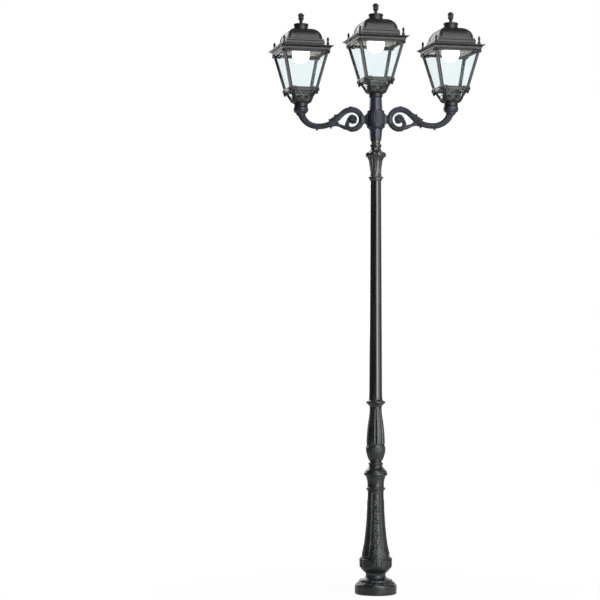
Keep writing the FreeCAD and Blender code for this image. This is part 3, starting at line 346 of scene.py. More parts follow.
@dataclass(frozen=True)
class BareMetal:
    """Zinc coated or plain steel with a crystalline or brushed skin."""

    name: str
    deep: Colour
    pale: Colour
    crystal: float
    roughness: float = 0.4
    scratch: float = 1.0
    drawn_out: float = 8.0
    relief: float = 0.03
    gloss_swing: float = 0.25

    def material(self) -> bpy.types.Material:
        """Wire the metal.

        Returns:
            The wired material.
        """
        wiring = Wiring.of_material(self.name)
        values = {"Vector": wiring.place, "Scale": 1 / (self.crystal * MM)}
        crystals = wiring.node("ShaderNodeTexVoronoi", {"feature": "F1"}, values, output="Distance")
        scratches = wiring.grain(self.scratch, stretch=(1, 1, self.drawn_out))
        share = crystals.between(0.1, 0.8) * 0.6 + scratches * 0.4
        return wiring.surface(
            Base_Color=wiring.mix(share, self.deep, self.pale),
            Metallic=1.0,
            Roughness=self.roughness + (scratches - 0.5) * self.gloss_swing,
            Normal=wiring.bump(scratches, self.relief),
        )


@dataclass(frozen=True)
class Moulded:
    """Plastic or rubber with a fine moulded grain."""

    name: str
    deep: Colour
    pale: Colour
    grain: float = 0.8
    relief: float = 0.08
    roughness: float = 0.5
    mottle: float = 30.0
    gloss_swing: float = 0.2

    def material(self) -> bpy.types.Material:
        """Wire the plastic.

        Returns:
            The wired material.
        """
        wiring = Wiring.of_material(self.name)
        grain = wiring.grain(self.grain)
        clouds = wiring.grain(self.mottle)
        return wiring.surface(
            Base_Color=wiring.mix(clouds.between(0.3, 0.7) * 0.5 + grain * 0.5, self.deep, self.pale),
            Roughness=self.roughness + (grain - 0.5) * self.gloss_swing,
            Normal=wiring.bump(grain, self.relief),
        )


@dataclass(frozen=True)
class ClearPane:
    """Clear acrylic with a breath of blue, a little dust, and a floor that is frosted."""

    name: str
    tint: Colour
    dust: Colour
    milk: Colour
    cover: float = 0.02
    frost: float = 0.8
    haze: float = 45.0
    haze_cover: float = 0.02

    def material(self) -> bpy.types.Material:
        """Wire the pane.

        Returns:
            The wired material.
        """
        wiring = Wiring.of_material(self.name)
        haze = wiring.grain(self.haze).between(0.3, 0.8)
        facing = wiring.node("ShaderNodeNewGeometry", output="Normal")
        level = wiring.node("ShaderNodeSeparateXYZ", None, {"Vector": facing}, "Z")
        floor = (level * level).between(0.8, 0.97)
        clear = wiring.node("ShaderNodeBsdfTransparent", None, {"Color": self.tint})
        skin = wiring.node("ShaderNodeBsdfPrincipled", None, {
            "Base Color": wiring.mix(haze * 0.5 + floor * 0.5, self.dust, self.milk),
            "Roughness": 0.06 + haze * 0.05,
        })
        cover = self.cover + haze * self.haze_cover + floor * self.frost
        wiring.blend(cover, clear, skin, "ShaderNodeOutputMaterial")
        return wiring.owner


@dataclass(frozen=True)
class OpalGlow:
    """Opal glass lit from within, with soft clouds of a warmer white."""

    name: str
    white: Colour
    warm: Colour
    power: float = 1.5
    clouds: float = 20.0

    def material(self) -> bpy.types.Material:
        """Wire the glass.

        Returns:
            The wired material.
        """
        wiring = Wiring.of_material(self.name)
        milk = wiring.grain(self.clouds).between(0.3, 0.7)
        glow = wiring.mix(milk * 0.3, self.white, self.warm)
        return wiring.surface(Base_Color=glow, Roughness=0.2 + milk * 0.05, Emission_Color=glow,
                              Emission_Strength=self.power)


class Finish(Enum):
    """The finishes of the lamp post."""

    LANTERN = CastPaint("lantern_paint", shade(11, 11, 12), shade(50, 51, 53), 1.8, 0.45, 0.42, 0.05,
                        crumbs=0.7, mottle=16.0)
    COLUMN = CastPaint("column_paint", shade(17, 19, 21), shade(43, 47, 50), 1.6, 0.3, 0.36, 0.15)
    CAPITAL = CastPaint("capital_paint", shade(26, 28, 26), shade(60, 64, 60), 1.6, 0.16, 0.24, 0.6,
                        crumbs=0.3, mottle=40.0)
    ARMS = CastPaint("arm_paint", shade(15, 19, 29), shade(42, 49, 68), 1.5, 0.28, 0.42, 0.05)
    TUBE = GlossPaint("tube_gloss", shade(18, 17, 15), shade(34, 33, 31))
    ZINC = BareMetal("zinc_coat", shade(120, 124, 128), shade(182, 186, 190), 6.0)
    STEEL = BareMetal("bright_steel", shade(130, 130, 132), shade(190, 190, 192), 2.0, 0.32)
    SCREW = BareMetal("screw_steel", shade(52, 52, 54), shade(96, 96, 98), 2.0, 0.42)
    CUP = Moulded("cup_moulding", shade(24, 24, 25), shade(58, 58, 60), 1.2, 0.2, 0.5)
    RUBBER = Moulded("seal_moulding", shade(18, 18, 18), shade(40, 40, 40), 0.9, 0.08, 0.7)
    CREAM = Moulded("reflector_enamel", shade(206, 200, 184), shade(226, 221, 208), 1.0, 0.05, 0.4)
    MODULE = Moulded("module_moulding", shade(214, 214, 208), shade(240, 240, 236), 1.4, 0.06, 0.35)
    DRIVER = Moulded("driver_moulding", shade(86, 88, 90), shade(112, 114, 116), 0.8, 0.1, 0.5)
    PANE = ClearPane("clear_acrylic", (0.955, 0.979, 0.987, 1.0), shade(196, 200, 194), shade(226, 238, 240))
    OPAL = OpalGlow("opal_glass", shade(255, 255, 252), shade(250, 246, 236))

    @cache
    def material(self) -> bpy.types.Material:
        """The finish's material, wired once."""
        return self.value.material()


# Outlines and carving


def arc_points(start: tuple[float, ...], end: tuple[float, ...], step: float) -> Outline:
    """Walk one edge of an outline, straight or bulging.

    Args:
        start: The corner that it leaves, as across and up.
        end: The corner that it reaches, as across, up and the bulge's rise over its chord.
        step: The longest stretch between two points.

    Returns:
        The points after the start.
    """
    run, rise = end[0] - start[0], end[1] - start[1]
    bulge = end[2] if len(end) > 2 else 0.0
    count = max(1, math.ceil(math.hypot(run, rise) / step))
    if not bulge:
        return [(start[0] + run * i / count, start[1] + rise * i / count) for i in range(1, count + 1)]
    half = 2 * math.atan(2 * bulge)
    count = max(count, LEAST_ARC)
    walked = []
    for i in range(1, count + 1):
        turn = half * (2 * i / count - 1)
        along = (math.sin(turn) / math.sin(half) + 1) / 2
        off = (math.cos(turn) - math.cos(half)) / (2 * math.sin(half))
        walked.append((start[0] + run * along + rise * off, start[1] + rise * along - run * off))
    return walked


def drawn(corners: Points, step: float = 4.0) -> Outline:
    """Draw an outline through its corners.

    Args:
        corners: Across, up and, for an arc, its bulge to the right of the way it is drawn.
        step: The longest stretch between two points.

    Returns:
        The outline's points.
    """
    points = [(corners[0][0], corners[0][1])]
    for start, end in zip(corners, corners[1:]):
        points += arc_points(start, end, step)
    return points


def flowing(knots: Points, step: float = 4.0) -> Outline:
    """Draw one smooth line through measured points.

    Args:
        knots: The points, as across and up.
        step: The distance between two drawn points.

    Returns:
        The line's points.
    """
    spots = np.array([knot[:2] for knot in knots], float)
    padded = np.vstack([2 * spots[0] - spots[1], spots, 2 * spots[-1] - spots[-2]])
    line = [tuple(spots[0])]
    for i in range(len(spots) - 1):
        before, start, end, after = padded[i:i + 4]
        count = max(1, math.ceil(np.linalg.norm(end - start) / step))
        for share in np.arange(1, count + 1) / count:
            line.append(tuple(0.5 * (2 * start + (end - before) * share
                                     + (2 * before - 5 * start + 4 * end - after) * share**2
                                     + (3 * start - before - 3 * end + after) * share**3)))
    return [(float(x), float(y)) for x, y in line]


def ridge(distance: Array, half: float) -> Array:
    """A rounded ridge, 1 on its crest and 0 past its half width."""
    return np.sqrt(np.clip(1 - (distance / half) ** 2, 0, 1))


def step_in(value: Array, low: float, high: float, soft: float) -> Array:
    """1 between two levels and 0 outside them, with soft ends.

    Args:
        value: The heights that are asked about.
        low: The lower level.
        high: The upper level.
        soft: How far each end takes to fade.

    Returns:
        The share at each height.
    """
    rising = np.clip((value - low) / soft, 0, 1)
    falling = np.clip((high - value) / soft, 0, 1)
    share = np.minimum(rising, falling)
    return share * share * (3 - 2 * share)


@dataclass(frozen=True)
class Leaf:
    """A carved leaf with a midrib and lobed edges, from its stalk at (across, up)."""

    across: float
    up: float
    length: float
    width: float
    height: float
    turn: float = 0.0
    lobes: int = 3

    def over(self, across: Array, up: Array) -> Array:
        """Height of the leaf at each place.

        Args:
            across: Places across the surface, in millimetres.
            up: Places up it, in millimetres.

        Returns:
            The height there.
        """
        angle = math.radians(self.turn)
        run, rise = across - self.across, up - self.up
        along = (run * math.sin(angle) + rise * math.cos(angle)) / self.length
        side = (run * math.cos(angle) - rise * math.sin(angle)) / (self.width / 2)
        inside = np.clip(along, 0, 1)
        waves = np.pi * self.lobes * inside
        edge = np.sin(np.pi * inside**0.8) ** 0.7 * (1 - LOBE_DEPTH + LOBE_DEPTH * np.abs(np.cos(waves)))
        body = np.sqrt(np.clip(1 - (side / np.maximum(edge, 0.02)) ** 2, 0, 1))
        veins = 1 - MIDRIB_DEPTH * np.exp(-((side * 5) ** 2)) - VEIN_DEPTH * np.abs(np.sin(waves + side))
        swell = 0.55 + 0.45 * inside
        return self.height * body * veins * swell * ((along > 0) & (along < 1))

    def mirrored(self) -> "Leaf":
        """The same leaf on the other side of the middle."""
        return replace(self, across=-self.across, turn=-self.turn)


@dataclass(frozen=True)
class Scroll:
    """A carved band that winds in round a button."""

    across: float
    up: float
    radius: float
    height: float
    hand: int = 1
    start: float = 0.0
    turns: float = 1.6

    def over(self, across: Array, up: Array) -> Array:
        """Height of the scroll at each place.

        Args:
            across: Places across the surface, in millimetres.
            up: Places up it, in millimetres.

        Returns:
            The height there.
        """
        run, rise = (across - self.across) * self.hand, up - self.up
        reach = np.hypot(run, rise)
        angle = (np.arctan2(rise, run) - math.radians(self.start)) % math.tau / math.tau
        pitch = self.radius / (self.turns + 1)
        share = (self.radius - reach) / pitch - angle
        turn = np.clip(np.round(share), 0, None)
        wound = (turn + angle < self.turns + 0.4) & (reach < self.radius + pitch * 0.4)
        band = ridge(share - turn, 0.4) * wound
        button = ridge(reach, pitch * 0.95) * 1.25
        return self.height * np.maximum(band, button)

    def mirrored(self) -> "Scroll":
        """The same scroll on the other side of the middle, wound the other way."""
        return replace(self, across=-self.across, hand=-self.hand)


@dataclass(frozen=True)
class Stem:
    """A carved stem that winds up a panel from side to side."""

    foot: float
    top: float
    swing: float
    pitch: float
    width: float
    height: float

    def over(self, across: Array, up: Array) -> Array:
        """Height of the stem at each place."""
        middle = self.swing * np.sin((up - self.foot) / self.pitch * math.tau)
        return self.height * ridge(across - middle, self.width / 2) * step_in(up, self.foot, self.top, 6)


Motif = Leaf | Scroll | Stem


def carved(motifs: Sequence[Motif], across: Array, up: Array) -> Array:
    """The highest of several motifs at each place."""
    return np.maximum.reduce([motif.over(across, up) for motif in motifs])


def on_both_sides(*motifs: Leaf | Scroll) -> list[Motif]:
    """Motifs of the right side with their mirror images on the left."""
    return [*motifs, *[motif.mirrored() for motif in motifs]]


def around(points: Array, count: int, start: float = 0.0) -> tuple[Array, Array]:
    """How far round each point lies from the nearest of several evenly set directions.

    Args:
        points: Places round the Z axis.
        count: How many directions there are.
        start: Where the first one is, in degrees.

    Returns:
        The distance round from it, along the surface, and the points' radius.
    """
    radius = np.hypot(points[:, 0], points[:, 1])
    angle = np.arctan2(points[:, 1], points[:, 0]) - math.radians(start)
    pitch = math.tau / count
    return (angle - np.round(angle / pitch) * pitch) * radius, radius


# Shapes


class Shape:
    """A form in the making, in millimetres."""

    def __init__(self) -> None:
        """Start with nothing."""
        self.mesh = bmesh.new()

    @classmethod
    def lathe(cls, outline: Points, segments: int) -> "Shape":
        """Turn an outline about the Z axis.

        Args:
            outline: Radius and height of each point. It is closed unless both ends are on the axis.
            segments: How many steps a full turn has, a multiple of four.

        Returns:
            The turned form.
        """
        shape = cls()
        first = Matrix.Rotation(math.radians(45), 3, "Z")
        verts = [shape.mesh.verts.new(first @ Vector((radius, 0, up))) for radius, up in outline]
        pairs = list(zip(verts, verts[1:]))
        if outline[0][0] > 0 or outline[-1][0] > 0:
            pairs.append((verts[-1], verts[0]))
        edges = [shape.mesh.edges.new(pair) for pair in pairs]
        slices = 16 if segments % 16 == 0 else 4
        axis = {"cent": (0, 0, 0), "axis": (0, 0, 1)}
        bmesh.ops.spin(shape.mesh, geom=verts + edges, angle=math.tau / slices,
                       steps=segments // slices, **axis)
        whole = [*shape.mesh.verts, *shape.mesh.edges, *shape.mesh.faces]
        bmesh.ops.spin(shape.mesh, geom=whole, angle=math.tau * (slices - 1) / slices, steps=slices - 1,
                       use_duplicate=True, **axis)
        return shape.merged().outward()

    @classmethod
    def grid(cls, columns: int, rows: int, place: Callable[[Array, Array], Array]) -> "Shape":
        """Bend a flat grid into a form.

        Args:
            columns: Its faces across.
            rows: Its faces along.
            place: Where the vertex of a column and row goes.

        Returns:
            The bent grid, with its seams merged.
        """
        shape = cls()
        bmesh.ops.create_grid(shape.mesh, x_segments=columns, y_segments=rows, size=1)
        flat = (shape.points()[:, :2] + 1) / 2 * (columns, rows)
        return shape.moved(place(np.rint(flat[:, 0]).astype(int), np.rint(flat[:, 1]).astype(int))).merged()

    @classmethod
    def sweep(cls, route: Points, section: Points, deep: Sequence[float] = (1, 1),
              wide: Sequence[float] = (1, 1), step: float = 4.0) -> "Shape":
        """Run a closed section along a route in the XZ plane.

        Args:
            route: The route's points, as across and up.
            section: The section's points, off the route's left and along Y.
            deep: Scales of its depth, evenly set along the route.
            wide: Scales of its width, evenly set along the route.
            step: The distance between two sections.

        Returns:
            The band, closed at both ends.
        """
        spots = np.array(route, float)
        gone = np.concatenate([[0], np.cumsum(np.linalg.norm(np.diff(spots, axis=0), axis=1))])
        count = max(2, round(gone[-1] / step))
        share = np.linspace(0, 1, count + 1)
        line = np.stack([np.interp(share * gone[-1], gone, spots[:, i]) for i in (0, 1)], axis=1)
        ahead = np.gradient(line, axis=0)
        ahead /= np.linalg.norm(ahead, axis=1)[:, None]
        left = np.stack([-ahead[:, 1], ahead[:, 0]], axis=1)
        depth = np.interp(share, np.linspace(0, 1, len(deep)), deep)
        width = np.interp(share, np.linspace(0, 1, len(wide)), wide)
        cut = np.array(section, float)

        def place(column: Array, row: Array) -> Array:
            """Set each vertex of the section on the route.

            Args:
                column: Each vertex's column.
                row: Each vertex's row.

            Returns:
                Where each vertex goes.
            """
            off = cut[column % len(cut)]
            across = line[row] + left[row] * (off[:, 0] * depth[row])[:, None]
            return np.stack([across[:, 0], off[:, 1] * width[row], across[:, 1]], axis=1)

        return cls.grid(len(cut), count, place).closed().outward()

    @classmethod
    def slab(cls, outline: Points, width: float, edge: float = 1.5) -> "Shape":
        """Cut a flat piece to an outline in the XZ plane and round its edges.

        Args:
            outline: Its corners, as across and up.
            width: Its thickness along Y, half on each side of the middle.
            edge: How far its edges are rounded.

        Returns:
            The slab.
        """
        shape = cls()
        verts = [shape.mesh.verts.new((across, -width / 2, up)) for across, up in outline]
        face = shape.mesh.faces.new(verts)
        shape.push(bmesh.ops.extrude_face_region(shape.mesh, geom=[face])["geom"], width).outward()
        sharp = [line for line in shape.mesh.edges if line.calc_face_angle(0) > SHARP]
        bmesh.ops.bevel(shape.mesh, geom=sharp, offset=edge, segments=2, profile=0.5,
                        affect="EDGES", material=-1, clamp_overlap=True)
        return shape

    @classmethod
    def plaque(cls, width: float, height: float, motifs: Sequence[Motif], step: float = 1.2,
               least: float = 0.3, back: float = 3.0) -> "Shape":
        """A carving on the XZ plane that faces -Y, cut out along its motifs' edges.

        Args:
            width: Its size across, about its middle.
            height: Its size upwards, about its middle.
            motifs: What is carved.
            step: The size of its faces.
            least: How high a face has to stand to be kept.
            back: How far its back lies behind the plane.

        Returns:
            The carving with a closed back.
        """
        columns, rows = max(2, round(width / step)), max(2, round(height / step))

        def place(column: Array, row: Array) -> Array:
            """Raise each vertex of the carving.

            Args:
                column: Each vertex's column.
                row: Each vertex's row.

            Returns:
                Where each vertex goes.
            """
            across = (column / columns - 0.5) * width
            up = (row / rows - 0.5) * height
            return np.stack([across, -carved(motifs, across, up), up], axis=1)

        shape = cls.grid(columns, rows, place)
        bare = [face for face in shape.mesh.faces if min(vert.co.y for vert in face.verts) > -least]
        bmesh.ops.delete(shape.mesh, geom=bare, context="FACES")
        rim = [edge for edge in shape.mesh.edges if edge.is_boundary]
        return shape.push(bmesh.ops.extrude_edge_only(shape.mesh, edges=rim)["geom"], back).closed().outward()

    def push(self, grown: list[bmesh.types.BMVert | bmesh.types.BMEdge | bmesh.types.BMFace],
             along: float) -> "Shape":
        """Move what an extrusion made along Y.

        Args:
            grown: What it made.
            along: How far it goes.

        Returns:
            This form.
        """
        moving = [item for item in grown if isinstance(item, bmesh.types.BMVert)]
        bmesh.ops.translate(self.mesh, verts=moving, vec=(0, along, 0))
        return self

    def points(self) -> Array:
        """Where its vertices are."""
        return np.array([vert.co for vert in self.mesh.verts], float).reshape(-1, 3)

    def moved(self, points: Array) -> "Shape":
        """Put its vertices elsewhere.

        Args:
            points: Where each vertex goes.

        Returns:
            This form.
        """
        for vert, spot in zip(self.mesh.verts, points):
            vert.co = spot
        return self

    def merged(self) -> "Shape":
        """Merge vertices that lie on each other."""
        bmesh.ops.remove_doubles(self.mesh, verts=self.mesh.verts, dist=1e-3)
        return self

    def closed(self) -> "Shape":
        """Fill every open end."""
        bmesh.ops.holes_fill(self.mesh, edges=self.mesh.edges, sides=0)
        return self

    def outward(self) -> "Shape":
        """Turn its faces outwards."""
        bmesh.ops.recalc_face_normals(self.mesh, faces=self.mesh.faces)
        return self

    def squared(self) -> "Shape":
        """Bring each round section to a square of the same half width.

        Returns:
            This form.
        """
        spots = self.points()
        radius = np.hypot(spots[:, 0], spots[:, 1])
        angle = np.arctan2(spots[:, 1], spots[:, 0])
        side = np.round(angle / (math.pi / 2)) * (math.pi / 2)
        share = (angle - side) / (math.pi / 4)
        across, along = radius * np.cos(side), radius * np.sin(side)
        square = np.stack([across - share * along, along + share * across, spots[:, 2]], axis=1)
        return self.moved(square).merged().outward()

    def raised(self, relief: Field) -> "Shape":
        """Carve its skin: each vertex moves along its normal.

        Args:
            relief: How far each place moves, in millimetres.

        Returns:
            The carved form.
        """
        self.mesh.normal_update()
        for vert, rise in zip(self.mesh.verts, relief(self.points())):
            vert.co += vert.normal * float(rise)
        return self

    def turned(self, matrix: Matrix) -> "Shape":
        """Move or turn the whole form.

        Args:
            matrix: The move or turn.

        Returns:
            This form.
        """
        bmesh.ops.transform(self.mesh, matrix=matrix, verts=self.mesh.verts)
        if matrix.determinant() < 0:
            bmesh.ops.reverse_faces(self.mesh, faces=self.mesh.faces)
        return self

    def with_copies(self, places: Sequence[Matrix]) -> "Shape":
        """Stand a copy of the form at each place, instead of the form itself.

        Args:
            places: Where each copy stands.

        Returns:
            The copies, as one new form.
        """
        gathered = Shape()
        for place in places:
            gathered.add(self, place)
        return gathered

    def add(self, other: "Shape", place: Matrix = HERE) -> "Shape":
        """Take another form in.

        Args:
            other: The form, which stays as it is.
            place: Where it goes.

        Returns:
            This form with the other in it.
        """
        held = bpy.data.meshes.new("held")
        other.mesh.to_mesh(held)
        held.transform(place)
        if place.determinant() < 0:
            held.flip_normals()
        self.mesh.from_mesh(held)
        bpy.data.meshes.remove(held)
        return self

    def finished(self, name: str, finish: Finish, place: Matrix = HERE,
                 crease: float = 38.0) -> bpy.types.Object:
        """Make the piece and bring it to metres.

        Args:
            name: The piece's name.
            finish: What it is painted with.
            place: Where it stands, in millimetres.
            crease: The angle past which an edge stays sharp, in degrees.

        Returns:
            The piece, at the origin, with its place in its mesh.
        """
        limit = math.radians(crease)
        for face in self.mesh.faces:
            face.smooth = True
        for edge in self.mesh.edges:
            edge.smooth = edge.calc_face_angle(0) < limit
        mesh = bpy.data.meshes.new(name)
        self.mesh.to_mesh(mesh)
        mesh.transform(Matrix.Scale(MM, 4) @ place)
        mesh.materials.append(finish.material())
        log.info("%s: %d faces", name, len(mesh.polygons))
        return put_in_scene(name, mesh)


def at(across: float = 0.0, along: float = 0.0, up: float = 0.0) -> Matrix:
    """A place in millimetres."""
    return Matrix.Translation((across, along, up))


def quarter_turns(place: Matrix = HERE) -> list[Matrix]:
    """The same place on each of the four sides."""
    return [Matrix.Rotation(math.radians(90 * i), 4, "Z") @ place for i in range(4)]


def set_down(piece: bpy.types.Object, body: str, slot: str, node: str) -> None:
    """Attach a piece to its body and hide the node that it stands for.

    Args:
        piece: The piece.
        body: The body that it rides on.
        slot: The slot of its finish; not used.
        node: The node that it stands for.
    """
    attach(piece, body)
    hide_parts(node)


# Column


@dataclass
class TurnedPiece:
    """A turned piece of the pole. Each kind gives its outline and its relief.

    The relief starts where the radius is more than the bore's by the field skin, so that it
    stays off the inside.
    """

    piece: str = ""
    node: str = ""
    finish: Finish = Finish.COLUMN
    slot: str = "cast_black"
    segments: int = 192
    crease: float = 38.0
    bore: float = 21.5
    skin: float = 5.0

    def outline(self) -> Outline:
        """The side that is turned, from its foot up and back through its bore."""
        raise NotImplementedError

    def relief(self, points: Array, up: Array) -> Array:
        """How far the skin stands out at each point, of which up is the height."""
        return np.zeros(up.shape)

    def carving(self, points: Array) -> Array:
        """The relief, kept off the bore."""
        outside = np.hypot(points[:, 0], points[:, 1]) > self.bore + self.skin
        return self.relief(points, points[:, 2]) * outside

    def build(self) -> None:
        """Turn and carve the piece."""
        shape = Shape.lathe(self.outline(), self.segments).raised(self.carving)
        set_down(shape.finished(self.piece, self.finish, crease=self.crease), "post", self.slot, self.node)


@dataclass
class Plinth(TurnedPiece):
    """The round cast shoe, with leaves on its slope and a ring of leaf tips."""

    piece: str = "plinth_casting"
    node: str = "plinth"
    segments: int = 288
    skin: float = 20.0
    radius: float = 116.0
    neck: float = 55.5
    height: float = 118.0
    leaves: int = 10

    def relief(self, points: Array, up: Array) -> Array:
        """Leaves lying on the slope, and tips that stand out above them.

        Args:
            points: Where the vertices are.
            up: Their heights.

        Returns:
            How far the skin stands out at each.
        """
        off, radius = around(points, self.leaves, 18)
        gap, _ = around(points, self.leaves)
        broad, narrow = Leaf(0, 80, 27, 54, 6.0), Leaf(0, 80, 25, 30, 4.4)
        slope = np.maximum(broad.over(off, radius), narrow.over(gap, radius))
        tips = ridge(gap, 19) * 3.6 + ridge(off, 9) * 2.4
        return slope * step_in(up, 50, 74, 3) + tips * step_in(up, 68, 82, 4)

    def outline(self) -> Outline:
        """A foot, a bevelled shelf, the leaves' slope and a hollow neck, over the foot plate's room.

        Returns:
            Radius and height of each point.
        """
        return drawn([
            (104, 0), (108, 0), (self.radius, 7, 0.2), (self.radius, 40), (113, 51, 0.12), (107, 59, 0.1),
            (86, 69), (87, 77, 0.25), (82, 80), (75, 81), (67, 86, -0.06), (self.neck, 104, -0.16),
            (56.5, 113, -0.04), (58, self.height), (self.bore, self.height), (self.bore, 38), (104, 38),
        ], 2.4)


@dataclass
class BaseColumn(TurnedPiece):
    """The drum and the flared shaft: four carved panels between smooth pilasters."""

    piece: str = "column_casting"
    node: str = "base_column"
    segments: int = 256
    crease: float = 50.0
    skin: float = 10.0
    foot: float = 118.0
    drum_foot: float = 148.0
    drum_top: float = 190.0
    drum: float = 84.5
    shaft_foot: float = 206.0
    shaft_top: float = 566.0
    ring: float = 52.6
    top: float = 606.0
    panel: float = 0.487
    sides: int = 4
    stem_foot: float = 226.0
    pitch: float = 33.0
    bends: int = 9

    def panel_motifs(self) -> list[Motif]:
        """A winding stem with broad leaves that curl off each of its bends, smaller towards the top.

        Returns:
            One panel's motifs.
        """
        stem_top = self.stem_foot + self.pitch * self.bends
        motifs: list[Motif] = [Stem(210, stem_top, 7.0, self.pitch * 2, 5.5, 2.4)]
        fan = ((16, 1.0, 0.5), (58, 0.94, 0.56), (112, 0.82, 0.5), (-44, 0.8, 0.46))
        for i in range(self.bends):
            up, reach = self.stem_foot + i * self.pitch, 34 - i * 1.3
            bend = [Leaf(3, up - 5, reach * length, reach * wide, 3.6, turn, 4) for turn, length, wide in fan]
            bend.append(Scroll(-reach * 0.4, up + 4, reach * 0.2, 3.4, 1, 200, 0.7))
            motifs += bend if i % 2 == 0 else [motif.mirrored() for motif in bend]
        return motifs

    def relief(self, points: Array, up: Array) -> Array:
        """Panels between broad pilasters, and the plates on the drum.

        Args:
            points: Where the vertices are.
            up: Their heights.

        Returns:
            How far the skin stands out at each.
        """
        off, radius = around(points, self.sides)
        edge = radius * self.panel - np.abs(off)
        shaft = step_in(up, self.shaft_foot, self.shaft_top, 7)
        crown = ridge(np.clip(edge, None, 0) + radius * 0.3, radius * 0.32) * 1.4
        pilaster = (1.6 + crown) * np.clip(-edge / 1.6, 0, 1)
        bead = ridge(edge - 3.2, 1.8) * 1.7
        recess = 1.6 * np.clip(edge / 2, 0, 1)
        carving = carved(self.panel_motifs(), off, up) * np.clip((edge - 4) / 2, 0, 1) - recess
        plate = ridge(np.maximum(np.abs(off) - 27, 0), 5) * step_in(up, 145, 205, 4) * 3.0
        leaf = carved([Leaf(0, 148, 56, 46, 5.0, lobes=4), *on_both_sides(
            Leaf(10, 152, 46, 22, 3.6, 34), Scroll(21, 160, 9, 3.2, 1, 90, 1.2))], off, up)
        return (pilaster + bead + carving) * shaft + plate + leaf

    def outline(self) -> Outline:
        """A flared foot, the drum, the long hollow shaft and the ring at its top.

        Returns:
            Radius and height of each point.
        """
        drum = drawn([
            (57, self.foot), (61, 119.5, 0.1), (69, 126, 0.02), (77, 136), (self.drum, self.drum_foot, 0.1),
            (self.drum, self.drum_top), (83, 194, 0.15), (80, 197),
        ], 2.6)
        shaft = flowing([
            (80, 197), (77, 215), (73, 238), (68, 260), (64, 282), (61, 304), (58, 327), (56.2, 349),
            (53.6, 371), (51.6, 394), (50.3, 416), (49, 438), (47.7, 461), (47, 483), (46.2, 528),
            (45.6, 550), (45.4, 570),
        ], 2.6)
        head = drawn([
            (45.4, 570), (47, 575, -0.15), (51, 577), (self.ring, 582, 0.3), (51, 588, 0.2), (48, 590),
            (46, 597, -0.1), (45.5, self.top), (self.bore, self.top), (self.bore, self.foot),
        ], 2.6)
        return drum + shaft[1:] + head[1:]


@dataclass
class Knop(TurnedPiece):
    """The bulge above the column: a flared cup, a sharp shoulder and a bead."""

    piece: str = "knop_casting"
    node: str = "knop"
    foot: float = 606.0
    shoulder: float = 65.0
    top: float = 745.0
    lobes: int = 8

    def relief(self, points: Array, up: Array) -> Array:
        """Shallow gadroons round the shoulder's slope.

        Args:
            points: Where the vertices are.
            up: Their heights.

        Returns:
            How far the skin stands out at each.
        """
        off, radius = around(points, self.lobes)
        lobe = np.cos(off / np.maximum(radius, 1) * self.lobes / 2)
        return (np.abs(lobe) - 0.6) * 1.5 * step_in(up, 674, 700, 6)

    def outline(self) -> Outline:
        """The cup, the shoulder, the slope above it, the bead and the upper flare.

        Returns:
            Radius and height of each point.
        """
        return drawn([
            (45.5, self.foot), (45.5, 612), (47, 622), (51, 640, -0.05), (53, 648, 0.1), (57, 653, -0.1),
            (63, 657), (self.shoulder, 662, 0.2), (self.shoulder, 667), (63.5, 672, 0.2), (60, 680),
            (52, 689, 0.06), (43, 699, -0.05), (38.4, 708, -0.08), (36.5, 713), (39, 716), (40.5, 721, 0.25),
            (39.5, 726, 0.2), (36, 728), (33.4, 731, -0.2), (35, 737, -0.15), (39, 741), (39, self.top),
            (self.bore, self.top), (self.bore, self.foot),
        ], 2.5)


@dataclass
class Vase(TurnedPiece):
    """The leaf cup, the bulb with its flutes, the neck and the top ring."""

    piece: str = "vase_casting"
    node: str = "vase"
    segments: int = 224
    crease: float = 55.0
    foot: float = 745.0
    cup_top: float = 815.0
    bulb_foot: float = 824.0
    bulb_top: float = 1036.0
    ring: float = 53.0
    top: float = 1085.0
    lobes: int = 8

    def relief(self, points: Array, up: Array) -> Array:
        """Two rows of leaves on the cup, and flutes with lips between the bulb's lobes.

        Args:
            points: Where the vertices are.
            up: Their heights.

        Returns:
            How far the skin stands out at each.
        """
        off, radius = around(points, self.lobes, 22.5)
        gap, _ = around(points, self.lobes)
        front = Leaf(0, 748, 62, 34, 4.6, lobes=4).over(off, up)
        back = Leaf(0, 760, 64, 30, 3.6, lobes=4).over(gap, up)
        cup = np.maximum(front, back) * step_in(up, 746, self.bulb_foot, 4)
        bulb = step_in(up, self.bulb_foot, self.bulb_top, 16)
        point = np.clip((1030 - up) / 90, 0, 1) ** 0.5
        flute = -3.6 * ridge(gap, radius * 0.15 * np.maximum(point, 0.05)) * bulb * point
        lips = ridge(np.abs(gap) - radius * 0.185, 2.0) * 0.9 * bulb
        return cup + flute + lips

    def outline(self) -> Outline:
        """The cup, the long bulb and the flaring head.

        Returns:
            Radius and height of each point.
        """
        cup = flowing([
            (39, self.foot), (43, 752), (46, 766), (49.5, 780), (51.3, 793), (51.8, 805),
            (50.5, self.cup_top),
        ], 2.4)
        bulb = flowing([
            (48.5, 820), (50.2, 832), (50.6, 847), (49.6, 873), (47.6, 900), (45, 926), (41.6, 953),
            (37.2, 980), (34, 1006), (33.2, 1022), (33.4, self.bulb_top),
        ], 2.6)
        head = drawn([
            (33.4, self.bulb_top), (37, 1043, -0.1), (42.7, 1049, -0.08), (50, 1056, -0.05),
            (self.ring, 1062, 0.25), (51, 1068, 0.2), (46, 1071), (40.5, 1074, -0.1), (38, self.top, -0.05),
            (self.bore, self.top), (self.bore, self.foot),
        ], 2.5)
        return cup + bulb + head[1:]


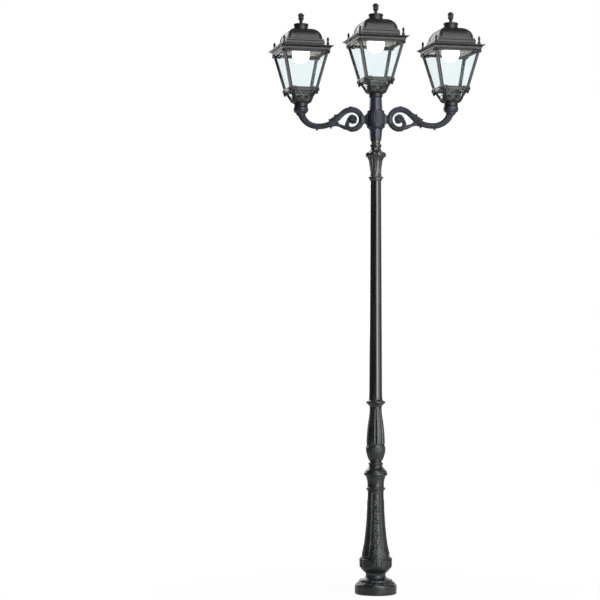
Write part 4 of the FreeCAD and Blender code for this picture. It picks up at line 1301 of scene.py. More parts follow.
@dataclass
class TaperedTube(TurnedPiece):
    """The plain tapered tube with a rolled seam at each end."""

    piece: str = "tube_drawn"
    node: str = "tapered_tube"
    finish: Finish = Finish.TUBE
    slot: str = "tube_paint"
    segments: int = 96
    bore: float = 27.0
    foot: float = 1085.0
    foot_radius: float = 36.5
    top: float = 2300.0
    top_radius: float = 31.0
    lip: float = 1.0

    def outline(self) -> Outline:
        """The tapered side between its two rounded ends.

        Returns:
            Radius and height of each point.
        """
        return drawn([
            (self.foot_radius - self.lip, self.foot), (self.foot_radius, self.foot + self.lip, 0.2),
            (self.top_radius, self.top - self.lip), (self.top_radius - self.lip, self.top, 0.2),
            (self.bore, self.top), (self.bore, self.foot),
        ], 45)


@dataclass
class Capital(TurnedPiece):
    """The ringed capital: a sharp disc, a fluted bell, curling leaf tips and a leafy cone."""

    piece: str = "capital_casting"
    node: str = "capital"
    finish: Finish = Finish.CAPITAL
    slot: str = "cast_green"
    crease: float = 50.0
    skin: float = 4.0
    foot: float = 2300.0
    disc: float = 45.0
    bell_foot: float = 2344.0
    bell_height: float = 84.0
    tips: float = 55.5
    top: float = 2524.0
    flutes: int = 8

    def relief(self, points: Array, up: Array) -> Array:
        """Flutes on the bell, leaf tips under the cone and leaves on it.

        Args:
            points: Where the vertices are.
            up: Their heights.

        Returns:
            How far the skin stands out at each.
        """
        off, _ = around(points, self.flutes, 22.5)
        gap, _ = around(points, self.flutes)
        bell = step_in(up, self.bell_foot, self.bell_foot + self.bell_height, 9)
        spread = 0.6 + (up - self.bell_foot) / self.bell_height
        flute = -2.6 * ridge(off, 7) * bell * spread
        rim = ridge(np.abs(off) - 8.5, 2) * 0.8 * bell
        tip = ridge(off, 17) * step_in(up, 2430, 2460, 10) * 4.4
        curl = ridge(gap, 8) * step_in(up, 2432, 2452, 7) * 2.2
        cone = Leaf(0, 2486, 34, 26, 2.4, 180, 3).over(off, up) * step_in(up, 2452, 2486, 4)
        return flute + rim + tip + curl + cone

    def outline(self) -> Outline:
        """The disc, the bell, the leaf tips, the cone and the ringed neck.

        Returns:
            Radius and height of each point.
        """
        foot = drawn([
            (31.2, self.foot), (36.8, 2306, 0.1), (36.8, 2312), (39.5, 2315, -0.1), (self.disc - 1, 2316),
            (self.disc, 2318, 0.2), (self.disc - 1, 2320), (38, 2323), (34.2, 2330, -0.18),
            (31.2, 2345, -0.06),
        ], 2.2)
        bell = flowing([
            (31.2, 2345), (31.4, 2357), (32, 2368), (33.4, 2379), (35.2, 2390), (36.6, 2401), (38.6, 2413),
            (43, 2422), (48, 2430), (53, 2438),
        ], 2.2)
        head = drawn([
            (53, 2438), (self.tips, 2446, 0.18), (52.5, 2454, 0.2), (47, 2458, 0.05), (34, 2467, -0.08),
            (28.6, 2478, -0.1), (27.6, 2486), (30, 2490), (33, 2494, 0.1), (33, 2501), (30, 2505, 0.1),
            (27.2, 2508), (26.8, 2515, -0.03), (28, self.top), (self.bore, self.top), (self.bore, self.foot),
        ], 2.2)
        return foot + bell[1:] + head[1:]


@dataclass
class Hub(TurnedPiece):
    """The hub casting: a sleeve, a ring, a reeded drum and an upper sleeve with its spigot."""

    piece: str = "hub_casting"
    node: str = "hub"
    finish: Finish = Finish.ARMS
    slot: str = "cast_blue"
    segments: int = 256
    crease: float = 50.0
    skin: float = 9.1
    foot: float = 2524.0
    sleeve_top: float = 2592.0
    drum: float = 48.5
    drum_foot: float = 2613.0
    drum_top: float = 2690.0
    shoulder: float = 2768.0
    spigot: float = 30.0
    spigot_top: float = 2828.0
    way: float = 24.0
    room: float = 38.0
    reeds: int = 32
    facets: int = 8

    def relief(self, points: Array, up: Array) -> Array:
        """Reeds on the drum and broad facets on both sleeves.

        Args:
            points: Where the vertices are.
            up: Their heights.

        Returns:
            How far the skin stands out at each.
        """
        off, radius = around(points, self.reeds)
        drum = step_in(up, self.drum_foot + 2, self.drum_top - 3, 4)
        reed = (ridge(off, 4.7) - 0.75) * 1.9 * drum
        flat, _ = around(points, self.facets, 22.5)
        chord = radius * (1 - 1 / np.cos(np.clip(flat / np.maximum(radius, 1), -0.5, 0.5)))
        upper = step_in(up, self.drum_top + 6, self.shoulder - 2, 8)
        lower = step_in(up, self.foot + 6, self.sleeve_top, 8)
        return reed + (-0.3 - chord) * 0.6 * np.maximum(upper, lower)

    def outline(self) -> Outline:
        """The lower sleeve, the ring, the drum, the upper sleeve, the spigot and the rooms inside.

        Returns:
            Radius and height of each point.
        """
        return drawn([
            (self.bore, self.foot), (30, self.foot), (31.5, 2540), (34, 2565), (36, 2583, -0.03),
            (41, 2593, -0.12), (46, 2597), (51, 2600), (52, 2603, 0.2), (51, 2607, 0.2), (49, 2610),
            (self.drum, self.drum_foot), (self.drum, self.drum_top), (46, self.drum_top + 4, 0.15),
            (37, self.drum_top + 5), (36, self.drum_top + 8, -0.1), (35, 2720), (33.4, 2745),
            (33.2, self.shoulder - 2), (32, self.shoulder, 0.1), (self.spigot, self.shoulder),
            (self.spigot, self.spigot_top), (self.way, self.spigot_top), (self.way, 2678), (self.room, 2678),
            (self.room, 2617), (18, 2617), (18, 2584), (self.bore, 2584),
        ], 2.6)


# Arms


@dataclass
class Arm:
    """One scrolled arm, drawn for the right side about the scroll's level."""

    reach: float = 420.0
    level: float = 2645.0
    centre: float = 134.4
    scroll: float = 55.2
    shoulder: float = 75.0
    dip_radius: float = 140.0
    dip: float = 37.5
    elbow: float = 95.0
    volute: float = 26.0
    rosette: float = 24.0
    deep: float = 31.0
    wide: float = 27.0
    socket: float = 42.4
    reed_depth: float = 1.8

    def section(self) -> Outline:
        """The band's section: broad bevels above and below, three reeds on each side.

        Returns:
            Its points, off the route's left and along Y.
        """
        half, thick = self.deep / 2, self.wide / 2
        front = []
        for off in np.linspace(9, -9, 13):
            reed = abs(math.sin(math.pi * (off + 9) / 6)) ** 0.6
            front.append((float(off), thick - self.reed_depth * (1 - reed)))
        ring = [(half, 0.0), (half, thick * 0.5), (half - 2, thick * 0.72)] + front
        ring += [(2 - half, thick * 0.72), (-half, thick * 0.5)]
        return ring + [(-half, 0.0)] + [(a, -b) for a, b in reversed(ring[1:])]

    def main_route(self) -> Outline:
        """Over the scroll's top, down its shoulder, through the dip and up to the socket.

        Returns:
            The route's points, as across and up.
        """
        bend, eighth = math.sqrt(0.5), math.tan(math.radians(45) / 4) / 2
        start, top, low = self.centre - self.scroll, self.scroll, -self.dip
        fall = top - low - (self.shoulder + self.dip_radius) * (1 - bend)
        leave = self.centre + self.shoulder * bend
        meet = leave + fall
        return drawn([
            (start, -6), (start, 0), (self.centre, top, -QUARTER),
            (leave, top - self.shoulder * (1 - bend), -eighth), (meet, low + self.dip_radius * (1 - bend)),
            (meet + self.dip_radius * bend, low, eighth), (self.reach - self.elbow, low),
            (self.reach, low + self.elbow, QUARTER),
        ], 3)

    def scroll_route(self) -> Outline:
        """Round the scroll's foot and into the volute.

        Returns:
            The route's points, as across and up.
        """
        low = -self.scroll
        return drawn([
            (self.centre - self.scroll, 6), (self.centre - self.scroll, 0), (self.centre, low, QUARTER),
            (self.centre + self.volute, low + self.volute, QUARTER),
            (self.centre + 2, low + self.volute * 2, QUARTER),
            (self.centre - 18, low + self.volute * 2 - 18, QUARTER),
        ], 3)

    def horn(self, route: Points, deep: Sequence[float], wide: Sequence[float]) -> Shape:
        """A small leaf or tip of rounded section that tapers along its route."""
        ring = [(math.cos(math.radians(a)), math.sin(math.radians(a))) for a in range(0, 360, 30)]
        return Shape.sweep(flowing(route, 2), ring, deep, wide, 2.2)

    def eye(self) -> Shape:
        """The round eye of the scroll, carved with a spiral on both faces.

        Returns:
            The eye, in its place on the arm.
        """
        half = self.wide / 2 + 3
        side = drawn([
            (0, -half), (self.rosette - 5, -half), (self.rosette, 5 - half, 0.2), (self.rosette, half - 5),
            (self.rosette - 5, half, 0.2), (0, half),
        ], 1.6)

        def spiral(points: Array) -> Array:
            """The spiral, as it shows on each face."""
            carving = carved([Scroll(0, 0, self.rosette - 3, 4.0, 1, 120, 1.7)], points[:, 0], points[:, 1])
            return carving * (np.abs(points[:, 2]) > half - 3) - 0.8

        shape = Shape.lathe(side, 80).raised(spiral)
        return shape.turned(at(self.centre - 7) @ FACING_FRONT)

    def pad(self) -> Shape:
        """The foot of the arm against the hub: a flange, a hollowed neck and a reeded side.

        Returns:
            The pad, in its place on the arm.
        """
        ring = []
        for turn in np.radians(np.arange(0, 360, 10)):
            across, off = math.sin(turn), math.cos(turn)
            ring.append((33 * math.copysign(abs(off) ** 0.45, off),
                         17 * math.copysign(abs(across) ** 0.45, across)))
        profile = (1, 1, 1, 0.98, 0.8, 0.7, 0.66, 0.72, 0.8, 0.76, 0.86, 0.98, 1.0, 0.9, 0.8)
        return Shape.sweep([(44, 0), (86, 0)], ring, profile, [0.3 + 0.7 * share for share in profile], 1.4)

    def socket_cup(self) -> Shape:
        """The flared cup that holds the spigot tube.

        Returns:
            The cup, at the arm's end.
        """
        top, wide = 70.0, self.socket
        side = drawn([
            (0, top - 48), (23, top - 46), (26, top - 40, -0.05), (33, top - 31, -0.12), (39, top - 26),
            (40.5, top - 23.5, 0.2), (39.5, top - 21), (wide - 1, top - 18), (wide, top - 15, 0.15),
            (wide, top - 6), (wide - 2.5, top - 1.5, 0.15), (37, top, 0.1), (30.4, top), (30.4, top - 30),
            (0, top - 30),
        ], 2)
        return Shape.lathe(side, 96).turned(at(self.reach))

    def leaves(self) -> list[Shape]:
        """The curled tips on the arm and the branch that ties the scroll to the dip.

        Returns:
            A form for the branch and one for each tip.
        """
        branch = [(146, -43), (166, -46), (188, -39), (208, -31), (228, -29), (243, -33), (252, -42),
                  (250, -51)]
        return [
            self.horn(branch, (13, 13, 11, 9, 8.5, 8.5, 8, 4), (11, 11, 10, 9, 9, 8, 7, 4)),
            self.horn([(176, 42), (196, 31), (212, 23), (224, 22), (232, 28)],
                      (9, 10, 10, 9, 4), (12, 12, 12, 11, 6)),
            self.horn([(226, 16), (240, 5), (254, -3), (264, 1)], (7, 9, 8, 4), (11, 11, 10, 5)),
            self.horn([(206, -20), (220, -24), (234, -21), (243, -12)], (7, 8, 7, 4), (9, 9, 8, 4)),
            self.horn([(322, -46), (329, -54), (333, -62)], (7, 6.5, 3.5), (9, 8, 4)),
            self.horn([(158, -10), (152, 6), (143, 19), (130, 25), (118, 22)],
                      (8, 7, 6, 5, 2), (9, 9, 8, 7, 3)),
            self.horn([(118, 56), (136, 68), (154, 64), (170, 54)], (4, 6.5, 5.5, 2), (12, 12, 10, 4)),
        ]

    def build(self) -> None:
        """Build the arm once and set it on both sides."""
        steady = (1,) * 6
        shape = Shape.sweep(self.main_route(), self.section(), steady + (1.02, 1.2, 1.5),
                            steady + (1.02, 1.25, 1.6))
        shape.add(Shape.sweep(self.scroll_route(), self.section(), (1, 1, 0.92, 0.8, 0.66, 0.5),
                              (1, 1, 1, 0.95, 0.9, 0.85)))
        for part in (self.eye(), self.pad(), self.socket_cup(), *self.leaves()):
            shape.add(part)
        for side, turn in (("right", 0), ("left", 180)):
            place = at(up=self.level) @ Matrix.Rotation(math.radians(turn), 4, "Z")
            piece = shape.finished(f"{side}_arm_casting", Finish.ARMS, place)
            set_down(piece, "post", "cast_blue", f"{side}_arm")


# Lanterns, drawn from the collar's foot upwards


@dataclass
class Lantern:
    """What the three lanterns share: where they stand, the frame's slope and the hinge."""

    yaw: float = 16.0
    reach: float = 420.0
    side_foot: float = 2715.5
    centre_foot: float = 2768.5
    cage_foot: float = 20.5
    frame_foot: float = 83.5
    roof_foot: float = 320.5
    foot_half: float = 77.5
    top_half: float = 134.5
    frame_height: float = 235.0
    wall: float = 8.0
    hinge_back: float = 143.5
    hinge_drop: float = 5.2
    barrel: float = 4.5
    pin: float = 2.55

    def places(self) -> dict[str, Matrix]:
        """Where each lantern stands.

        Returns:
            The place of each lantern, by the name of its side.
        """
        turn = Matrix.Rotation(math.radians(self.yaw), 4, "Z")
        spots = {"left": (-self.reach, self.side_foot), "centre": (0, self.centre_foot),
                 "right": (self.reach, self.side_foot)}
        return {side: at(across, 0, up) @ turn for side, (across, up) in spots.items()}

    def half(self, height: float | Array) -> float | Array:
        """Half the frame's width at a height above its foot."""
        return self.foot_half + (self.top_half - self.foot_half) * height / self.frame_height

    def hinge_barrel(self, half: float, edge: float = 0.6) -> Shape:
        """A hinge barrel that lies along X.

        Args:
            half: Half its length.
            edge: How much its ends are chamfered.

        Returns:
            The barrel, about its middle.
        """
        ring = drawn([
            (self.pin, -half), (self.barrel - edge, -half), (self.barrel, edge - half),
            (self.barrel, half - edge), (self.barrel - edge, half), (self.pin, half),
        ], half * 3)
        return Shape.lathe(ring, 24).turned(FACING_SIDE)

    def stand(self, shape: Shape, part: str, finish: Finish, body: str, slot: str, node: str,
              crease: float = 38.0) -> None:
        """Set a piece on each lantern.

        Args:
            shape: The piece's form, drawn from the collar's foot.
            part: What the piece is called after the lantern's side.
            finish: What it is painted with.
            body: The body that it rides on, after the lantern's side.
            slot: The slot of its finish.
            node: The node that it stands for, after the lantern's side.
            crease: The angle past which its edges stay sharp.
        """
        for side, place in self.places().items():
            piece = shape.finished(f"{side}_{part}", finish, place, crease)
            set_down(piece, f"{side}_{body}", slot, f"{side}_{node}")

    def cast(self, shape: Shape, part: str, body: str, node: str, crease: float = 38.0) -> None:
        """Set a black casting on each lantern."""
        self.stand(shape, part, Finish.LANTERN, body, "lantern_black", node, crease=crease)


@dataclass
class Cage(Lantern):
    """The collar and the four curved legs, with a raised lip along each arch."""

    collar: float = 38.6
    bore: float = 30.1
    height: float = 63.0
    arch: float = 51.4
    arch_half: float = 54.0
    arch_up: float = 69.4
    squareness: float = 2.6
    knob: float = 8.5
    lip_deep: float = 2.6
    lip_wide: float = 3.8

    def skin(self, angle: Array, up: Array) -> Array:
        """How far out the bowl's skin lies, round at its heel and square at its top.

        Args:
            angle: Direction round the lantern, in radians.
            up: Height above the cage's foot.

        Returns:
            The radius there.
        """
        share = np.clip(up / self.height, 0, 1)
        half = np.interp(share, [0, 0.04, 0.1, 0.2, 0.34, 0.51, 0.66, 0.8, 1],
                         [43, 49, 54, 57, 59, 60.5, 64, 69, self.foot_half])
        power = np.interp(share, [0, 0.1, 0.5, 0.8, 1], [2.2, 2.8, 5, 9, 16])
        spread = np.abs(np.cos(angle)) ** power + np.abs(np.sin(angle)) ** power
        return half / spread ** (1 / power)

    def arch_level(self, angle: Array) -> Array:
        """How high the skin reaches in each direction, up to the arch's edge.

        Args:
            angle: Directions round the lantern, in radians.

        Returns:
            The level in each, above the cage's foot.
        """
        side = np.round(angle / (math.pi / 2)) * (math.pi / 2)
        turn = np.abs(angle - side)
        level = np.full(angle.shape, self.height)
        for up in np.arange(self.height, self.arch_up - self.arch - 0.1, -0.25):
            off = self.skin(angle, np.full(angle.shape, up)) * np.sin(turn) / self.arch_half
            below = abs(up - self.arch_up) / self.arch
            level = np.where(off**self.squareness + below**self.squareness < 1, up, level)
        return level

    def shell(self) -> Shape:
        """The bowl and its legs, a wall thick.

        Returns:
            The bowl, drawn from the cage's foot.
        """
        rows = 20
        unit = [(2.0, i / rows) for i in range(rows + 1)] + [(1.0, 1 - i / rows) for i in range(rows + 1)]
        shape = Shape.lathe(unit, 288)
        spots = shape.points()
        angle = np.arctan2(spots[:, 1], spots[:, 0])
        outer = np.hypot(spots[:, 0], spots[:, 1]) > 1.5
        up = spots[:, 2] * self.arch_level(angle)
        radius = self.skin(angle, up) - np.where(outer, 0, self.wall)
        placed = np.stack([radius * np.cos(angle), radius * np.sin(angle), up], axis=1)
        return shape.moved(placed).outward()

    def lip(self) -> Shape:
        """A rounded lip along one arch's edge, on the side that faces +X.

        Returns:
            The lip, closed at both ends.
        """
        steps = 60
        below = (self.arch_up - self.height) / self.arch
        widest = math.acos(below ** (self.squareness / 2))
        spread = np.linspace(-widest, widest, steps + 1)
        bend = 2 / self.squareness
        off = self.arch_half * np.sign(spread) * np.abs(np.sin(spread)) ** bend
        up = self.arch_up - self.arch * np.cos(spread) ** bend
        out = np.full(off.shape, 60.0)
        for _ in range(12):
            out = self.skin(np.arctan2(off, out), up) * np.cos(np.arctan2(off, out))
        line = np.stack([out - 1.6, off, up], axis=1)
        ahead = np.gradient(line, axis=0)
        ahead /= np.linalg.norm(ahead, axis=1)[:, None]
        inward = np.stack([np.zeros(steps + 1), -off, self.arch_up - up], axis=1)
        inward -= ahead * np.sum(inward * ahead, axis=1)[:, None]
        inward /= np.linalg.norm(inward, axis=1)[:, None]
        side = np.cross(ahead, inward)
        ring = np.radians(np.arange(0, 360, 36))

        def place(column: Array, row: Array) -> Array:
            """Set each vertex of the lip round its line.

            Args:
                column: Each vertex's column.
                row: Each vertex's row.

            Returns:
                Where each vertex goes.
            """
            turn = ring[column % len(ring)][:, None]
            off = inward[row] * self.lip_deep * np.cos(turn) + side[row] * self.lip_wide * np.sin(turn)
            return line[row] + off

        return Shape.grid(len(ring), steps, place).closed().outward()

    def leaf(self) -> Shape:
        """The carved leaf in the middle of an arch, facing -Y.

        Returns:
            The leaf, laid on the bowl's skin.
        """
        motifs = [Leaf(0, -7, 16, 15, 4.5, lobes=2),
                  *on_both_sides(Leaf(2, -6, 15, 10, 3.6, 52), Scroll(10.5, 0.5, 5, 3.4, 1, 60, 1.2))]
        patch = Shape.plaque(40, 20, motifs, 0.9)
        spots = patch.points()
        out = self.skin(np.arctan2(-np.ones(len(spots)), spots[:, 0] / 50), np.clip(spots[:, 2] + 11, 0, 30))
        spots[:, 1] -= np.sqrt(np.clip(out**2 - spots[:, 0] ** 2, 100, None)) - 1.0
        spots[:, 2] += 11.5
        return patch.moved(spots)

    def corner_knob(self) -> Shape:
        """A turned knob under a corner of the frame.

        Returns:
            The knob, with its top at height 0.
        """
        side = drawn([
            (0, -17), (4, -16.5), (6, -13, 0.1), (5.6, -10, -0.1), (self.knob, -8, 0.1), (self.knob, -2),
            (7.6, 0, 0.1), (0, 0),
        ], 1.6)
        return Shape.lathe(side, 24)

    def build(self) -> None:
        """Build the cage and its cup."""
        reach = self.foot_half - 3
        corner = at(reach, reach, self.height)
        shape = self.shell()
        for part, spot in ((self.lip(), at()), (self.leaf(), at()), (self.corner_knob(), corner)):
            shape.add(part.with_copies(quarter_turns(spot)))
        cage = Shape().add(shape, at(up=self.cage_foot))
        ring = drawn([
            (self.bore, 0), (35.5, 0), (self.collar, 3.5, 0.15), (self.collar, 17), (39.6, 19.5), (39.6, 22),
            (self.bore, 22),
        ], 2)
        cage.add(Shape.lathe(ring, 96))
        self.cast(cage, "cage_casting", "head", "cage")
        cup = drawn([
            (30.5, 20.5), (33, 20.5), (33, 35), (38.4, 38.5, 0.1), (39, 40), (39, 61), (38, 62.4, 0.2),
            (0, 62.4), (0, 59.6), (30.5, 59.6),
        ], 3)
        self.stand(Shape.lathe(cup, 96), "cable_cup_moulding", Finish.CUP, "head", "cup_black", "cable_cup")


@dataclass
class FrameWork(Lantern):
    """The square frame that widens upwards: moulded rails, ridged posts and scroll bosses."""

    foot_rail: float = 22.5
    top_rail: float = 23.0
    post: float = 17.0
    rebate: float = 130.0
    rebate_deep: float = 3.0
    barrel_off: float = 27.5

    def foot_moulding(self) -> Shape:
        """The foot rail with its wavy edge.

        Returns:
            The rail, drawn from the frame's foot.
        """
        rail = self.foot_rail
        side = [(self.half(up) + out, up, *bulge) for out, up, *bulge in (
            (1.5, 0), (2.8, 3, 0.2), (1.2, 6, 0.1), (1.2, 16), (2.6, 19, 0.2), (0, rail, 0.2),
            (-self.wall, rail), (-self.wall, 0))]
        foot = Shape.lathe(drawn(side, 3), 4 * 44).squared()
        spots = foot.points()
        flat = np.abs(spots[:, :2])
        share = flat.min(axis=1) / flat.max(axis=1)
        wave = 2.8 * np.sin(np.clip((share - 0.5) / 0.36, 0, 1) * math.tau * 1.5) ** 2
        spots[:, 2] += np.where(spots[:, 2] > 18, wave, 0)
        return foot.moved(spots)

    def top_moulding(self) -> Shape:
        """The top rail with its three mouldings and the rebate for the panes.

        Returns:
            The rail, at its height above the frame's foot.
        """
        high, step = self.frame_height, self.top_rail / 3
        low = high - self.top_rail
        side, head = self.half(low), self.top_half
        outline = drawn([
            (side, low), (side + 2, low + 1, 0.2), (side + 1.8, low + 5), (side + 0.4, low + 6),
            (side + 1.5, low + step), (side + 3.6, low + step + 3, -0.1), (head + 1, low + step * 2, 0.15),
            (head + 3.4, low + step * 2 + 0.8), (head + 3.4, high), (self.rebate, high),
            (self.rebate, high - self.rebate_deep), (head - self.wall, high - self.rebate_deep),
            (side - self.wall, low),
        ], 3)
        return Shape.lathe(outline, 4 * 2).squared()

    def corner_post(self) -> Shape:
        """One corner post, an angle section with a bead along each window.

        Returns:
            The post, standing on one corner.
        """
        wide, thin = self.post, self.wall
        arm = [(0.0, -2.0), (0.0, -9.5), (-1.6, -10.5), (-1.6, -12.0), (0.4, -13.0), (1.0, -14.5),
               (0.4, 0.6 - wide), (-1.2, -wide), (-thin, -wide), (-thin, -thin)]
        section = np.array(arm + [(y, x) for x, y in reversed(arm[:-1])])
        low, high = self.foot_rail - 3, self.frame_height - self.top_rail + 3

        def place(column: Array, row: Array) -> Array:
            """Set each vertex of the section on the corner's line.

            Args:
                column: Each vertex's column.
                row: Each vertex's row.

            Returns:
                Where each vertex goes.
            """
            up = np.where(row == 0, low, high)
            corner = section[column % len(section)] + self.half(up)[:, None]
            return np.column_stack([corner, up])

        return Shape.grid(len(section), 1, place).closed().outward()

    def bosses(self) -> Shape:
        """Bosses with leaves that run along the rails, at both ends of each rail, on every side.

        Returns:
            All the bosses, as one form.
        """
        right = [Scroll(14, 0, 11, 4.6, 1, 200, 0.8), Leaf(8, 4, 26, 12, 3.8, -66),
                 Leaf(7, -4, 32, 11, 3.4, -98, 4), Scroll(-14, 2, 6, 3.2, -1, 30, 0.9)]
        left = [motif.mirrored() for motif in right]
        lean = Matrix.Rotation(-math.atan2(self.top_half - self.foot_half, self.frame_height), 4, "X")
        gathered = Shape()
        for up, inset in ((self.frame_height - self.top_rail + 7, 23.0), (self.foot_rail - 9, 19.0)):
            for hand, motifs in ((-1, left), (1, right)):
                spot = at(hand * (self.half(up) - inset), -self.half(up) - 0.9, up)
                gathered.add(Shape.plaque(54, 25, motifs, 1.1).with_copies(quarter_turns(spot @ lean)))
        return gathered

    def hinge(self) -> Shape:
        """Two barrels behind the top rail, each on its block.

        Returns:
            Both barrels with their blocks, as one form.
        """
        up = self.roof_foot - self.hinge_drop
        block = Shape.slab([(-7, -4.5), (7, -4.5), (7, 4), (-7, 4)], 5.0, 0.6)
        pair = Shape()
        for way in (-1, 1):
            pair.add(self.hinge_barrel(7), at(self.barrel_off * way, self.hinge_back, up))
            pair.add(block, at(self.barrel_off * way, self.hinge_back - 5.2, up))
        return pair

    def build(self) -> None:
        """Build the frame."""
        shape = self.foot_moulding().add(self.top_moulding())
        shape.add(self.corner_post().with_copies(quarter_turns())).add(self.bosses())
        whole = Shape().add(shape, at(up=self.frame_foot)).add(self.hinge())
        self.cast(whole, "frame_casting", "head", "frame")


@dataclass
class Roof(Lantern):
    """The brim, the moulded skirt and the vaulted dome with ribs and palmettes."""

    brim: float = 153.5
    brim_height: float = 11.0
    mouth: float = 121.5
    skirt_top: float = 51.0
    dome: float = 98.0
    dome_top: float = 42.0
    height: float = 115.0
    shell: float = 4.0
    bulge: float = 0.188

    def vault(self) -> Outline:
        """The dome's side outline."""
        return drawn([(self.dome, self.skirt_top), (self.dome_top, self.height, self.bulge)], 2.0)

    def carving(self, points: Array) -> Array:
        """Double ribs along the hips and a palmette at the top of each face.

        Args:
            points: Where the vertices are.

        Returns:
            How far the skin stands out at each.
        """
        side = np.array(self.vault())
        x, y, up = points.T
        half = np.maximum(np.abs(x), np.abs(y))
        outside = (half > np.interp(up, side[:, 1], side[:, 0]) - 2) & (up > self.skirt_top + 0.4)
        across = np.where(np.abs(x) > np.abs(y), y * np.sign(x), -x * np.sign(y))
        edge = half - np.abs(across)
        gone = np.concatenate([[0], np.cumsum(np.linalg.norm(np.diff(side, axis=0), axis=1))])
        below = np.interp(up, side[:, 1], gone[-1] - gone)
        ribs = ridge(edge - 1, 5) * 2.6 + ridge(edge - 11.5, 2.8) * 2.4
        fade = step_in(up, self.skirt_top + 0.5, self.height + 20, 3)
        motifs = [Leaf(0, -7, 34, 17, 3.6, 180), *on_both_sides(
            Scroll(17, -13, 11, 3.0, 1, 250, 1.3), Leaf(4, -11, 30, 13, 3.0, 145),
            Leaf(20, -15, 19, 12, 2.6, 122))]
        return (ribs * fade + carved(motifs, across, -below)) * outside * (up < self.height - 0.3)

    def hinge(self) -> Shape:
        """The middle barrel on two blocks that hang from the brim.

        Returns:
            The barrel with its blocks, as one form.
        """
        shape = Shape().add(self.hinge_barrel(20), at(0, self.hinge_back, -self.hinge_drop))
        block = Shape.slab([(-19.5, -2.5), (19.5, -2.5), (19.5, 3.5), (-19.5, 3.5)], 3.0, 0.5)
        return shape.add(block, at(0, self.hinge_back + 3, -0.5)).add(block, at(0, self.hinge_back - 3, -0.5))

    def build(self) -> None:
        """Build the roof."""
        high, inside = self.brim_height, self.dome - self.shell
        crown = drawn([(0, self.height), (self.dome_top, self.height)], 8)
        skirt = drawn([
            (self.dome, self.skirt_top), (105.6, self.skirt_top), (106.8, self.skirt_top - 1, -0.2),
            (107, 43.5), (108, 41, 0.1), (110.4, 31, -0.18), (109, 22, -0.12), (108.6, 19, 0.1),
            (113.5, high + 2, 0.12), (114.5, high), (self.brim - 0.8, high), (self.brim, high - 1.2, -0.2),
            (self.brim - 1, high - 3), (139, 0), (self.mouth, 0), (self.mouth, self.shell),
            (self.dome + 6, self.shell), (inside, self.skirt_top),
        ], 5)
        liner = drawn([
            (inside, self.skirt_top), (self.dome_top - 2, self.height - self.shell, self.bulge),
            (0, self.height - self.shell),
        ], 6)
        outline = crown + self.vault()[-2::-1] + skirt[1:] + liner[1:]
        shape = Shape.lathe(outline, 4 * 52).squared().raised(self.carving).add(self.hinge())
        self.cast(Shape().add(shape, at(up=self.roof_foot)), "roof_casting", "roof", "roof", 42)


